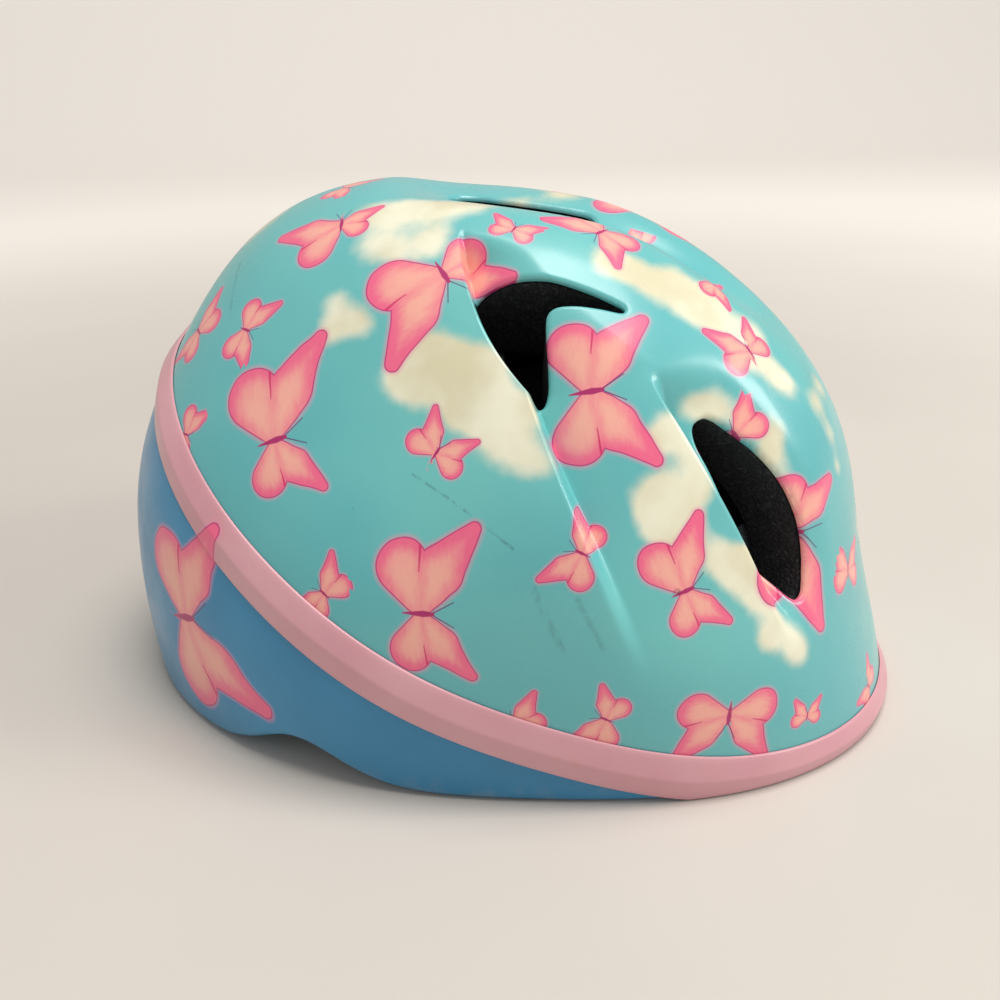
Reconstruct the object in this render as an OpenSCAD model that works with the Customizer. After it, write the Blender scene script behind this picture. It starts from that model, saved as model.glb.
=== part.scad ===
// Toddler cycling helmet: a stepped, vented top shell and a lower shell moulded on a foam liner, a
// band over their joint, comfort pads, webbing with sliders and a side-release buckle, and a dial-fit
// cradle at the nape. The brow faces -Y, the wearer's left is +X, and the rim stands on z = 0.

/* [Overall size] */
// Widest point of the shells, side to side
shell_w = 186; // [155:1:225]
// Brow to nape along the shells
shell_l = 238; // [198:1:286]
// Crown above the surface that the rim stands on
shell_h = 144; // [120:1:173]

/* [Shells and band] */
// Wall of the top shell
top_wall = 1.5; // [1:0.1:2.2]
// Wall of the lower shell
lower_wall = 1.5; // [1:0.1:2.2]
// Clearance between moulded layers
layer_gap = 0.3; // [0.2:0.05:0.5]
// Clearance between the shells and the foam
foam_gap = 0.95; // [0.8:0.05:1.1]
// Height of the band over the joint of the shells
band_h = 14; // [11:0.5:18]
// How far the crease of the band stands proud of the shells
band_proud = 2.2; // [1.6:0.1:3.2]
// Height of the lowest band edge at the brow
band_brow_h = 8; // [7:0.5:11]
// Height of the upper band edge at the nape
band_nape_h = 100; // [85:1:115]
// Rise of the rim over the ear
ear_rise = 11; // [4:0.5:16]
// Inward reach of the lip that wraps under the foam
lip_reach = 9; // [6:0.5:12]

/* [Steps and vents] */
// Depth of the step that the side panels make
step_depth = 7; // [4:0.5:8.5]
// Depth of the step in front of the oval vents
brow_step_depth = 6.5; // [4:0.5:8]
// Depth of the channel along the crown
channel_depth = 6; // [3:0.5:8]
// Scale of every vent outline
vent_scale = 1; // [0.8:0.05:1.15]

/* [Head cavity] */
// Foam, wall and clearances together at the sides, outside the cavity
side_foam = 23; // [20:0.5:26]
// Length of the cavity between the foam walls
cavity_l = 174; // [146:1:180]
// Height of the cavity above the surface
cavity_h = 107; // [96:1:110]
// Thickness of the comfort pads
pad_t = 6; // [3:0.5:8]

/* [Webbing and buckle] */
// Width of the webbing
web_w = 15; // [12:0.5:18]
// Thickness of the webbing
web_t = 1.2; // [0.9:0.1:1.6]
// Distance of each slider from the side of the cavity
slider_inset = 24; // [20:1:27]
// Place of the buckle along the helmet
buckle_y = 8; // [0:1:16]
// Width of the buckle body
buckle_w = 24; // [22:0.5:29]
// Height of the buckle body
buckle_h = 9; // [8:0.5:11]

/* [Fit dial] */
// Radius of the dial
dial_r = 13; // [11:0.5:15]
// Thickness of the dial
dial_t = 8; // [6.5:0.5:9.5]
// Height of the dial's axis
dial_z = 22; // [20:0.5:27]
// Place of the dial's axle seat along the helmet
dial_y = 66; // [60:0.5:67]
// Height of the fit belts
belt_h = 6; // [4.5:0.5:7.5]

/* [Hidden] */

// The smooth form is drawn at its reference size and stretched to the overall sizes.
form_w = 186;
form_l = 238;
form_h = 144;
stretch = [shell_w / form_w, shell_l / form_l, shell_h / form_h];
form_centre_y = -2;
form_centre_z = 40;
centre_y = form_centre_y * stretch.y;
centre_z = form_centre_z * stretch.z;

// Reaches of the smooth form from its centre, and how square its sections are
side_reach = 86;
brow_reach = 130;
nape_reach = 120;
crown_rise = 115;
skirt_drop = 175;
rear_widening = 0.15;
plan_power = 2.1;
side_power = 2.3;

// Bulges and hollows on the smooth form: [bearing from the brow, elevation, spread, height]
bulges = [
    [180, 50, 0.30, 6],     // shoulder behind the crown
    [180, 26, 0.28, -9],    // hollow above the nape
    [180, -8, 0.35, 3],     // nape skirt
    [90, -5, 0.40, 6.5],    // cheek over the ear
    [90, 42, 0.40, -11.5],  // side of the crown
    [0, 42, 0.42, -18.5],   // slope over the forehead
    [0, 2, 0.35, -19.5],    // brow
    [38, -8, 0.30, 4.5],    // brow corner
    [0, 90, 0.45, -6],      // top of the crown
    [138, 45, 0.32, -8],    // rear quarter
    [45, 30, 0.35, -10],    // front quarter
    [54, 27, 0.30, 12]      // temple, kept full so that the steps leave foam under them
];

// Mesh of the shells: columns round the helmet and rows from rim to crown
columns = 90;
rows = 22;
cavity_rows = 9;
wall_rows = 5;

function mix(a, b, t) = a * (1 - t) + b * t;
function ease(t) = let (u = min(max(t, 0), 1)) u * u * (3 - 2 * u);
function ramp(t) = min(max(t, 0), 1);
function swell(t) = 1 / (1 + exp(-t));
function aim(a, e) = [sin(a) * cos(e), -cos(a) * cos(e), sin(e)];

// ---- Smooth form -------------------------------------------------------------------------------

function bell(d, b) = exp((d * aim(b[0], b[1]) - 1) / (b[2] * b[2]));
function bulge(d, b) =
    b[3] * (bell(d, b) + (b[0] % 180 == 0 ? 0 : bell([-d.x, d.y, d.z], b)));
function egg(d) =
    let (reach = mix(brow_reach, nape_reach, swell(6 * d.y)),
         rise = mix(skirt_drop, crown_rise, swell(8 * d.z)),
         side = side_reach * (1 + rear_widening * d.y))
    pow(pow(pow(abs(d.x) / side, plan_power) + pow(abs(d.y) / reach, plan_power),
            side_power / plan_power) + pow(abs(d.z) / rise, side_power), -1 / side_power);
function form_r(d) = egg(d) + [for (b = bulges) bulge(d, b)] * [for (b = bulges) 1];

// ---- Channel, panels and steps, as depths below the smooth form -----------------------------------

// Half the width of the crown channel, at the crests of its two ridges
function ridge_x(y) = 11 + 16 * swell((y + 22) / 9);
function channel_sink(x, y) =
    channel_depth * ease((y + 85) / 45) * ease((38 - y) / 26) * (1 - ease(abs(x) / ridge_x(y)));

// Edge of the raised centre panel, and the wall that falls from it to the side panels
function plateau_x(y) = min(max(32.6 + 0.16 * y, 20), 32);
function off_plateau(x, y) = ease((abs(x) - plateau_x(y)) / 6);

// Bearings of the two steps, which lean back as they rise
function lean(e) = 0.32 * max(0, e) + 0.6 * max(0, e - 44);
function rear_step(e) = 48 + lean(e);
function brow_step(e) = 24 + lean(e);
function brow_ridge(e) = 15 + 0.012 * (e - 12) * (e - 12);
step_run = 360 / columns;

function side_sink(a, e, x, y) =
    let (t = ramp((a - brow_step(e)) / (rear_step(e) - brow_step(e))))
    step_depth * pow(t, 1.4) * ease((rear_step(e) + step_run - a) / step_run)
        * ease((e + 4) / 38) * off_plateau(x, y) * ease((84 - e) / 10);
function brow_sink(a, e) =
    brow_step_depth * ramp((a - brow_ridge(e)) / (brow_step(e) - brow_ridge(e)))
        * ease((brow_step(e) + step_run - a) / step_run) * ease((e + 2) / 12) * ease((44 - e) / 8);

function bearing(a) = abs((a + 540) % 360 - 180);
function relief_r(a, e) =
    let (d = aim(a, e), r = form_r(d), x = r * d.x, y = r * d.y)
    r - channel_sink(x, y) * ease((e - 20) / 20)
      - side_sink(bearing(a), e, x, y) - brow_sink(bearing(a), e);

// The columns of the mesh lean with the steps, so that each step runs along one column
function column(a, e) =
    let (b = bearing(a)) a + (a > 180 ? -1 : 1) * lean(e) * ease(b / 20) * ease((165 - b) / 100);

// Point of the shells' outer face, moved inward by depth
function skin(bearing_at_rim, e, depth = 0) =
    let (a = column(bearing_at_rim, e), d = aim(a, e) * relief_r(a, e),
         p = [d.x * stretch.x, d.y * stretch.y, d.z * stretch.z])
    [0, centre_y, centre_z] + p * (1 - depth / norm(p));

// ---- Edge lines ----------------------------------------------------------------------------------

function along(y) = (y - centre_y) / stretch.y;
function edge_z(y) =
    band_brow_h + (band_nape_h - band_brow_h) * pow(max(0, along(y) + 116) / 206, 1.7);
function rim_z(y) = ear_rise * exp(-pow((along(y) - 27) / 19, 2));

// Height above the surface of each line, at a point of the skin
corner = 3;
function joint_z(y) = max(edge_z(y) - band_h / 2, rim_z(y) + corner + 1);
function line_z(kind, y) =
    kind == "band_top" ? edge_z(y) :
    kind == "joint" ? joint_z(y) :
    kind == "band_foot" ? max(edge_z(y) - band_h, rim_z(y) + 0.6) :
    kind == "corner" ? rim_z(y) + corner : rim_z(y);

// Elevation at which the skin meets a line, by halving the interval
function seek(a, kind, shift, low, high, left) =
    let (e = (low + high) / 2, p = skin(a, e))
    left == 0 ? e :
    p.z < line_z(kind, p.y) + shift ? seek(a, kind, shift, e, high, left - 1)
                                    : seek(a, kind, shift, low, e, left - 1);
function elevation(a, kind, shift = 0) = seek(a, kind, shift, -45, 60, 13);

// ---- Meshes --------------------------------------------------------------------------------------

bearings = [for (i = [0:columns - 1]) 360 * i / columns];

// Closed ring of loops: every loop is one closed section, and the loops run round the helmet
function ring_faces(count, size) =
    [for (i = [0:count - 1], j = [0:size - 1])
        let (a = i * size + j, b = i * size + (j + 1) % size,
             c = (i + 1) % count * size + (j + 1) % size, d = (i + 1) % count * size + j)
        each [[a, b, c], [a, c, d]]];
module ring(loops) {
    size = len(loops[0]);
    polyhedron([for (l = loops) each l], ring_faces(len(loops), size), convexity = 10);
}

// Dome of two skins that share a rim: columns of points, outer rim first, inner rim last, with the
// outer pole and the inner pole between the two halves of each column
module dome(outer, inner, outer_pole, inner_pole) {
    count = len(outer);
    m = len(outer[0]);
    k = len(inner[0]);
    points = concat([for (c = outer) each c], [for (c = inner) each c], [outer_pole, inner_pole]);
    o = function (i, j) (i % count) * m + j;
    n = function (i, j) count * m + (i % count) * k + j;
    top = count * (m + k);
    faces = [for (i = [0:count - 1]) each concat(
        [for (j = [0:m - 2]) each [[o(i, j), o(i, j + 1), o(i + 1, j + 1)],
                                   [o(i, j), o(i + 1, j + 1), o(i + 1, j)]]],
        [[o(i, m - 1), top, o(i + 1, m - 1)]],
        [for (j = [0:k - 2]) each [[n(i, j), n(i + 1, j + 1), n(i, j + 1)],
                                   [n(i, j), n(i + 1, j), n(i + 1, j + 1)]]],
        [[n(i, k - 1), n(i + 1, k - 1), top + 1]],
        [[o(i, 0), o(i + 1, 0), n(i + 1, 0)], [o(i, 0), n(i + 1, 0), n(i, 0)]])];
    polyhedron(points, faces, convexity = 10);
}

// Patch of a curved wall between two faces, each a grid of points
module patch(front, back) {
    nu = len(front);
    nv = len(front[0]);
    points = concat([for (r = front) each r], [for (r = back) each r]);
    f = function (i, j) i * nv + j;
    b = function (i, j) nu * nv + i * nv + j;
    faces = concat(
        [for (i = [0:nu - 2], j = [0:nv - 2]) each [
            [f(i, j), f(i + 1, j), f(i + 1, j + 1)], [f(i, j), f(i + 1, j + 1), f(i, j + 1)],
            [b(i, j), b(i + 1, j + 1), b(i + 1, j)], [b(i, j), b(i, j + 1), b(i + 1, j + 1)]]],
        [for (i = [0:nu - 2]) each [
            [f(i, 0), b(i, 0), b(i + 1, 0)], [f(i, 0), b(i + 1, 0), f(i + 1, 0)],
            [f(i, nv - 1), b(i + 1, nv - 1), b(i, nv - 1)],
            [f(i, nv - 1), f(i + 1, nv - 1), b(i + 1, nv - 1)]]],
        [for (j = [0:nv - 2]) each [
            [f(0, j), b(0, j + 1), b(0, j)], [f(0, j), f(0, j + 1), b(0, j + 1)],
            [f(nu - 1, j), b(nu - 1, j), b(nu - 1, j + 1)],
            [f(nu - 1, j), b(nu - 1, j + 1), f(nu - 1, j + 1)]]]);
    polyhedron(points, faces, convexity = 6);
}

// Flat webbing swept along a path; each row is [point, direction across the webbing]
function tape_normal(path, i) =
    let (ahead = path[min(i + 1, len(path) - 1)][0] - path[max(i - 1, 0)][0],
         n = cross(ahead, path[i][1])) n / norm(n);
module tape(path, w, t) {
    loops = [for (i = [0:len(path) - 1])
        let (p = path[i][0], s = path[i][1] / norm(path[i][1]) * w / 2,
             n = tape_normal(path, i) * t / 2)
        [p - s - n, p + s - n, p + s + n, p - s + n]];
    last = len(path) - 1;
    points = [for (l = loops) each l];
    faces = concat([[0, 3, 2], [0, 2, 1]],
        [for (i = [0:last - 1], j = [0:3])
            let (a = 4 * i + j, b = 4 * i + (j + 1) % 4, c = b + 4, d = a + 4)
            each [[a, b, c], [a, c, d]]],
        [[4 * last, 4 * last + 1, 4 * last + 2], [4 * last, 4 * last + 2, 4 * last + 3]]);
    polyhedron(points, faces, convexity = 6);
}

module left_and_right() {
    children();
    mirror([1, 0, 0]) children();
}

// ---- Vents ---------------------------------------------------------------------------------------

vent_from = 50;
vent_to = 190;

// Local frame on the skin: X follows the bearing, Y climbs towards the crown, Z leaves the helmet
module on_skin(a, e) {
    translate([0, centre_y, centre_z]) rotate([0, 0, a]) rotate([90 - e, 0, 0]) children();
}
// Rounded outline through discs [x, y, radius]
module outline(discs) {
    translate([0, 0, vent_from])
        linear_extrude(vent_to - vent_from)
            scale(vent_scale)
                hull() for (c = discs) translate([c[0], c[1]]) circle(r = c[2], $fn = 32);
}

oval_top = [[-5.5, 17.5, 3], [1, 0, 7], [3.2, -10, 8]];
oval_foot = [[3.2, -10, 8], [5.2, -18, 6.8], [7, -27.5, 3.3]];
boomerang_arm = [[-6, 15.5, 3.5], [8, 13.5, 3], [21, 8.5, 1]];
boomerang_leg = [[-6, 15.5, 3.5], [-2, 1, 4.5], [2.6, 4, 3.6], [2.4, -10.2, 2.3]];
crown_discs = [[0, 10, 6], [0, -20, 7]];
oval_aim = [26, 22];
boomerang_aim = [66, 54];

module side_vents() {
    on_skin(oval_aim[0], oval_aim[1]) mirror([1, 0, 0]) {
        outline(oval_top);
        outline(oval_foot);
    }
    on_skin(boomerang_aim[0], boomerang_aim[1]) mirror([1, 0, 0]) {
        outline(boomerang_arm);
        outline(boomerang_leg);
    }
}
module vents() {
    left_and_right() side_vents();
    on_skin(0, 90) outline(crown_discs);
}

// ---- Shells, band and foam -----------------------------------------------------------------------

module top_shell() {
    starts = [for (a = bearings) elevation(a, "joint", 0.4)];
    outer = [for (i = [0:columns - 1]) [for (j = [0:rows - 1])
        skin(bearings[i], mix(starts[i], 90, j / rows))]];
    inner = [for (i = [0:columns - 1]) [for (j = [0:rows - 1])
        skin(bearings[i], mix(starts[i], 90, j / rows), top_wall)]];
    color("mediumturquoise")
        difference() {
            dome(outer, inner, skin(0, 90), skin(0, 90, top_wall));
            vents();
        }
}

// Section of the band: two facets that meet at a crease, and a flat back
module edge_band() {
    edge = 0.8;
    back = -0.2;
    color("pink")
        ring([for (a = bearings)
            let (top = elevation(a, "band_top"), foot = elevation(a, "band_foot"),
                 crease = (top + foot) / 2)
            [skin(a, top, back), skin(a, top, -edge), skin(a, crease, -band_proud),
             skin(a, foot, -edge), skin(a, foot, back), skin(a, crease, back)]]);
}

// Point moved level inward from the skin at the corner line, at a height above the rim
function under(p, inward, z) =
    let (h = norm([p.x, p.y])) [p.x * (1 - inward / h), p.y * (1 - inward / h), z];

module lower_shell() {
    color("cornflowerblue")
        ring([for (a = bearings)
            let (high = elevation(a, "joint"), low = elevation(a, "corner"), p = skin(a, low),
                 rim = rim_z(p.y), w = lower_wall)
            concat(
                [for (j = [0:wall_rows]) skin(a, mix(high, low, j / wall_rows))],
                [under(p, 0.35 * corner, rim + 0.3 * corner), under(p, corner, rim),
                 under(p, lip_reach, rim), under(p, lip_reach, rim + w), under(p, corner, rim + w)],
                [for (j = [wall_rows:-1:0]) skin(a, mix(high, low, j / wall_rows), w)])]);
}

// Half axes of the head cavity, and a point of its wall moved inward by depth
cavity_w = shell_w - 2 * side_foam;
slider_x = cavity_w / 2 - slider_inset;
cavity_plan = 2.2;
cavity_dome = 1.9;
function cavity_form(depth) =
    [cavity_w / 2 - depth, cavity_l / 2 - depth, cavity_h - centre_z - depth];
function cavity(a, e, depth = 0) =
    let (h = cavity_form(depth), d = aim(a, e),
         plan = pow(abs(d.x) / h.x, cavity_plan) + pow(abs(d.y) / h.y, cavity_plan),
         r = pow(pow(plan, cavity_dome / cavity_plan) + pow(abs(d.z) / h.z, cavity_dome), -1 / cavity_dome))
    [r * d.x, r * d.y, centre_z + r * d.z];
// Below the centre the wall of the cavity is upright
function cavity_wall(a, z, depth = 0) = let (p = cavity(a, 0, depth)) [p.x, p.y, z];
// Turn about Z that lays a flat part along the upright wall
function wall_turn(a) = let (t = cavity_wall(a + 1, 0) - cavity_wall(a - 1, 0)) atan2(t.y, t.x);

foam_cover = max(top_wall, lower_wall) + foam_gap;
module foam_liner() {
    starts = [for (a = bearings) elevation(a, "corner", 1)];
    outer = [for (i = [0:columns - 1])
        let (a = bearings[i], p = skin(a, elevation(a, "corner")),
             low = rim_z(p.y) + lower_wall + layer_gap)
        concat([under(p, corner + foam_cover, low)],
            [for (j = [0:rows - 1]) skin(a, mix(starts[i], 90, j / rows), foam_cover)])];
    inner = [for (i = [0:columns - 1])
        let (a = bearings[i], low = outer[i][0].z)
        concat([cavity_wall(a, low), cavity_wall(a, centre_z * 0.55)],
            [for (j = [0:cavity_rows - 1]) cavity(a, 90 * j / cavity_rows)])];
    color("dimgray")
        difference() {
            dome(outer, inner, skin(0, 90, foam_cover), cavity(0, 90));
            vents();
        }
}

// ---- Comfort pads --------------------------------------------------------------------------------

dot_t = 1;
pad_back = layer_gap + dot_t + layer_gap;

// Pad on the cavity wall from bearing a0 to a1 and elevation e0 to e1
module pad(a0, a1, e0, e1) {
    across = 8;
    up = 4;
    face = function (depth) [for (i = [0:across]) [for (j = [0:up])
        cavity(mix(a0, a1, i / across), mix(e0, e1, j / up), depth)]];
    patch(face(pad_back + pad_t), face(pad_back));
}

module brow_pad() { color("slategray") pad(-42, 42, -14, 14); }
module crown_pad_left() { color("slategray") pad(125, 65, 56, 76); }
module crown_pad_right() { color("slategray") mirror([1, 0, 0]) pad(125, 65, 56, 76); }
module temple_pad_left() { color("slategray") pad(108, 76, 8, 32); }
module temple_pad_right() { color("slategray") mirror([1, 0, 0]) pad(108, 76, 8, 32); }
module rear_pad_left() { color("slategray") pad(172, 140, 14, 34); }
module rear_pad_right() { color("slategray") mirror([1, 0, 0]) pad(172, 140, 14, 34); }

// Hook discs between foam and pads
module dot(a, e) {
    n = cross(cavity(a + 1, e) - cavity(a - 1, e), cavity(a, e + 1) - cavity(a, e - 1));
    translate(cavity(a, e)) rotate([0, 0, atan2(n.y, n.x)]) rotate([0, atan2(norm([n.x, n.y]), n.z), 0])
        translate([0, 0, -layer_gap - dot_t]) cylinder(r = 4.5, h = dot_t - 0.5);
}
module hook_dots() {
    color("black") {
        for (a = [-24, 24]) dot(a, 0);
        left_and_right() {
            dot(95, 66);
            dot(92, 20);
            dot(156, 24);
        }
    }
}

// ---- Webbing -------------------------------------------------------------------------------------

slider_h = 5;
web_z = slider_h / 2 + 0.4;
anchor_front = 62;
anchor_rear = 124;
anchor_z = 17;
anchor_inset = 0.85;
slider_l = 30;
slot_d = 4;
slider_w = web_w + 9;

// Slotted anchor plate on the cavity wall
module anchor(a) {
    slot_t = web_t + 0.8;
    translate(cavity_wall(a, anchor_z)) rotate([0, 0, wall_turn(a)]) translate([0, anchor_inset, 0])
        difference() {
            translate([-web_w / 2 - 3, 0, -4]) cube([web_w + 6, slot_t + 1.2, 12]);
            translate([-web_w / 2 - 0.6, -1, -5]) cube([web_w + 1.2, slot_t + 1, 7.5]);
        }
}
module strap_anchors() {
    color("black") left_and_right() {
        anchor(anchor_front);
        anchor(anchor_rear);
    }
}

// Strap from its anchor, down the wall, over the lip and level into its slider; s = 1 meets the
// slider from behind and s = -1 from the front
module side_strap(a, s) {
    turned = wall_turn(a);
    inward = [-sin(turned), cos(turned), 0];
    level = [cos(turned), sin(turned), 0] * -s;
    across = [1, 0, 0];
    p = cavity_wall(a, 0) + inward * (anchor_inset + web_t / 2 + 0.4);
    mouth_y = buckle_y + s * (slider_l / 2 - slot_d + 0.6);
    mouth = [slider_x, mouth_y, web_z];
    turn = [p.x, p.y, web_z] + inward * 6.4;
    near = [slider_x, mouth_y + s * 7, web_z];
    tape([[[p.x, p.y, anchor_z - 2.2], level], [[p.x, p.y, 9], level],
        [[p.x, p.y, 7] + inward * 0.8, level],
        [[p.x, p.y, 4.6] + inward * 2.8, mix(level, across, 0.1)],
        [turn, mix(level, across, 0.35)], [mix(turn, near, 0.5), mix(level, across, 0.7)],
        [near, across], [mouth, across]], web_w, web_t);
}
module front_strap_left() { color("dimgray") side_strap(anchor_front, -1); }
module front_strap_right() { color("dimgray") mirror([1, 0, 0]) side_strap(anchor_front, -1); }
module rear_strap_left() { color("dimgray") side_strap(anchor_rear, 1); }
module rear_strap_right() { color("dimgray") mirror([1, 0, 0]) side_strap(anchor_rear, 1); }

// Slider with a mouth at the front, at the rear and towards the chin strap
module slider() {
    slot = web_t + 0.8;
    translate([slider_x, buckle_y, web_z])
        difference() {
            translate([-slider_w / 2, -slider_l / 2, -slider_h / 2])
                cube([slider_w, slider_l, slider_h]);
            for (s = [-1, 1])
                translate([-web_w / 2 - 0.6, s > 0 ? slider_l / 2 - slot_d : -slider_l / 2 - 1, -slot / 2])
                    cube([web_w + 1.2, slot_d + 1, slot]);
            translate([-slider_w / 2 - 1, -web_w / 2 - 0.6, -slot / 2])
                cube([slot_d + 1, web_w + 1.2, slot]);
        }
}
module slider_left() { color("black") slider(); }
module slider_right() { color("black") mirror([1, 0, 0]) slider(); }

// ---- Side-release buckle, along X ------------------------------------------------------------------

socket_out = 22;
socket_in = -2;
tongue_out = -16;
tongue_in = -2.6;
buckle_z = 0.6 + buckle_h / 2;
wall = 1.6;
guide_w = 5;
prong_w = 2.6;
prong_y = buckle_w / 2 - wall - prong_w / 2 - 0.8;
prong_reach = 17;

// Level chin strap from its slider to the buckle
module chin_run(from, to, rise) {
    tape([[[from, buckle_y, web_z], [0, 1, 0]], [[mix(from, to, 0.3), buckle_y, web_z], [0, 1, 0]],
        [[mix(from, to, 0.7), buckle_y, mix(web_z, buckle_z, 0.9) + rise], [0, 1, 0]],
        [[to, buckle_y, buckle_z + rise], [0, 1, 0]]], web_w, web_t);
}
chin_start = slider_x - slider_w / 2 + slot_d - 0.6;
module chin_strap_left() { color("dimgray") chin_run(chin_start, socket_out - 3, 0); }
module chin_strap_right() { color("dimgray") chin_run(-chin_start, tongue_out + 3, -1.4); }

// Spare webbing folded back over the chin strap
module strap_tail() {
    z = buckle_z + 1.4;
    color("dimgray")
        tape([[[tongue_out + 3, buckle_y, z], [0, 1, 0]], [[tongue_out - 3, buckle_y, z], [0, 1, 0]],
            [[tongue_out - 9, buckle_y, z - 0.3], [0, 1, 0]],
            [[tongue_out - 18, buckle_y, z], [0, 1, 0]], [[tongue_out - 32, buckle_y, z + 1], [0, 1, 0]]],
            web_w, web_t);
}

// Ring that holds the spare webbing against the chin strap
keeper_x = tongue_out - 4;
module strap_keeper() {
    color("black")
        translate([keeper_x - 5, buckle_y, buckle_z - 0.4])
            difference() {
                translate([0, -web_w / 2 - 2, -4]) cube([5, web_w + 4, 8]);
                translate([-1, -web_w / 2 - 0.5, -2.9]) cube([7, web_w + 1, 5.8]);
            }
}

module buckle_socket() {
    inner_w = buckle_w - 2 * wall;
    inner_h = buckle_h - 2 * wall;
    color("black")
        translate([0, buckle_y, buckle_z])
            difference() {
                translate([socket_in, -buckle_w / 2, -buckle_h / 2])
                    cube([socket_out - socket_in, buckle_w, buckle_h]);
                translate([socket_in - 1, -inner_w / 2, -inner_h / 2])
                    cube([socket_out - socket_in - 5, inner_w, inner_h]);
                for (s = [-1, 1])
                    translate([socket_in + 8, s > 0 ? inner_w / 2 - 1 : -buckle_w / 2 - 1, -inner_h / 2])
                        cube([8, wall + 2, inner_h]);
                translate([socket_out - 3.6, -web_w / 2 - 0.6, -1]) cube([5, web_w + 1.2, 2]);
            }
}
module buckle_tongue() {
    slot = 2;
    color("black")
        translate([0, buckle_y, buckle_z])
            difference() {
                union() {
                    translate([tongue_out, -buckle_w / 2, -buckle_h / 2])
                        cube([tongue_in - tongue_out, buckle_w, buckle_h]);
                    translate([tongue_in - 1, -guide_w / 2, -1.2]) cube([prong_reach, guide_w, 2.4]);
                }
                for (z = [-2.4, 0.4])
                    translate([tongue_out - 1, -web_w / 2 - 0.6, z]) cube([5, web_w + 1.2, slot]);
                for (s = [-1, 1])
                    translate([tongue_in, s * prong_y, -buckle_h]) cylinder(r = 2, h = 2 * buckle_h);
            }
}
// Sprung arm with a catch that shows in the window of the socket
module prong(s) {
    root_r = 1.95;
    translate([tongue_in, buckle_y + s * prong_y, buckle_z]) {
        translate([0, 0, -1.6]) cylinder(r = root_r, h = 3.2);
        translate([0, -prong_w / 2, -1.6]) cube([prong_reach - 1, prong_w, 3.2]);
        translate([socket_in + 9 - tongue_in, s > 0 ? 0 : -prong_w / 2 - 1.6, -1.6])
            cube([6, prong_w / 2 + 1.6, 3.2]);
    }
}
module buckle_prong_front() { color("black") prong(-1); }
module buckle_prong_rear() { color("black") prong(1); }

// ---- Dial-fit cradle -------------------------------------------------------------------------------

housing_l = 60;
housing_h = 26;
housing_t = 7;
housing_y = dial_y - 0.5 - housing_t;
cover_t = 1.5;
pitch_r = 4.5;
tooth_n = 10;
rack_l = 30;
rack_h = 3;
rack_t = 3;
rack_y = housing_y + 1.6;
axle_r = 2.5;
belt_t = 1.5;
running = 0.05;

module dial_housing() {
    color("black")
        difference() {
            translate([-housing_l / 2, housing_y, dial_z - housing_h / 2])
                cube([housing_l, housing_t, housing_h]);
            translate([-housing_l / 2 - 1, housing_y - 1, dial_z - housing_h / 2 + 2])
                cube([housing_l + 2, housing_t - 0.6, housing_h - 4]);
            translate([0, housing_y, dial_z]) rotate([-90, 0, 0])
                cylinder(r = axle_r + running, h = housing_t + 1);
            for (s = [-1, 1])
                translate([s * (housing_l / 2 - 6), housing_y - 1, dial_z])
                    rotate([-90, 0, 0]) cylinder(r = 1.3, h = housing_t + 2);
        }
}
module housing_cover() {
    color("black")
        translate([0, housing_y - cover_t - 0.1, dial_z])
            difference() {
                translate([-housing_l / 2, 0, -housing_h / 2]) cube([housing_l, cover_t, housing_h]);
                for (s = [-1, 1])
                    translate([s * (housing_l / 2 - 6), -1, 0]) rotate([-90, 0, 0])
                        cylinder(r = 1.3, h = cover_t + 2);
            }
}
module cover_screws() {
    color("silver")
        for (s = [-1, 1])
            translate([s * (housing_l / 2 - 6), housing_y - cover_t - 0.3, dial_z]) rotate([-90, 0, 0]) {
                translate([0, 0, -1.2]) cylinder(r = 2.4, h = 1.2);
                translate([0, 0, -0.1]) cylinder(r = 1.1, h = housing_t + cover_t - 0.4);
            }
}

grip_n = 18;
module fit_dial() {
    color("black")
        translate([0, dial_y, dial_z]) rotate([-90, 0, 0])
            difference() {
                cylinder(r = dial_r, h = dial_t);
                for (i = [0:grip_n - 1])
                    rotate([0, 0, 360 / grip_n * i]) translate([dial_r + 0.7, 0, -1])
                        cylinder(r = 1.5, h = dial_t + 2);
                translate([0, 0, dial_t - 1]) cylinder(r = dial_r - 4, h = 2);
            }
}

// Gear outline with straight-sided teeth
function gear_point(i) =
    let (a = 360 / tooth_n * floor(i / 4), half = 360 / tooth_n,
         turn = [0.14, 0.36, 0.64, 0.86][i % 4] * half,
         r = pitch_r + [-0.9, 0.8, 0.8, -0.9][i % 4])
    [r * cos(a + turn), r * sin(a + turn)];
module fit_pinion() {
    color("white")
        translate([0, dial_y, dial_z]) rotate([90, 0, 0]) {
            cylinder(r = axle_r, h = dial_y - rack_y);
            translate([0, 0, dial_y - rack_y - rack_t])
                linear_extrude(rack_t)
                    polygon([for (i = [0:4 * tooth_n - 1]) gear_point(i)]);
        }
}

// Toothed bar that runs over (s = 1) or under (s = -1) the pinion
tooth_pitch = 2 * PI * pitch_r / tooth_n;
rack_from = -7;
rack_clear = 1;
module rack(s) {
    tooth_w = 0.3 * tooth_pitch;
    translate([0, rack_y, dial_z]) mirror([0, 0, s > 0 ? 0 : 1]) {
        translate([rack_from, 0, pitch_r + rack_clear]) cube([rack_l, rack_t, rack_h]);
        for (i = [0:5])
            translate([(i - 0.5) * tooth_pitch - tooth_w / 2, 0, pitch_r - 0.3])
                cube([tooth_w, rack_t, rack_clear + 0.8]);
    }
}
module rack_left() { color("white") rack(1); }
module rack_right() { color("white") mirror([1, 0, 0]) rack(-1); }

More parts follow.
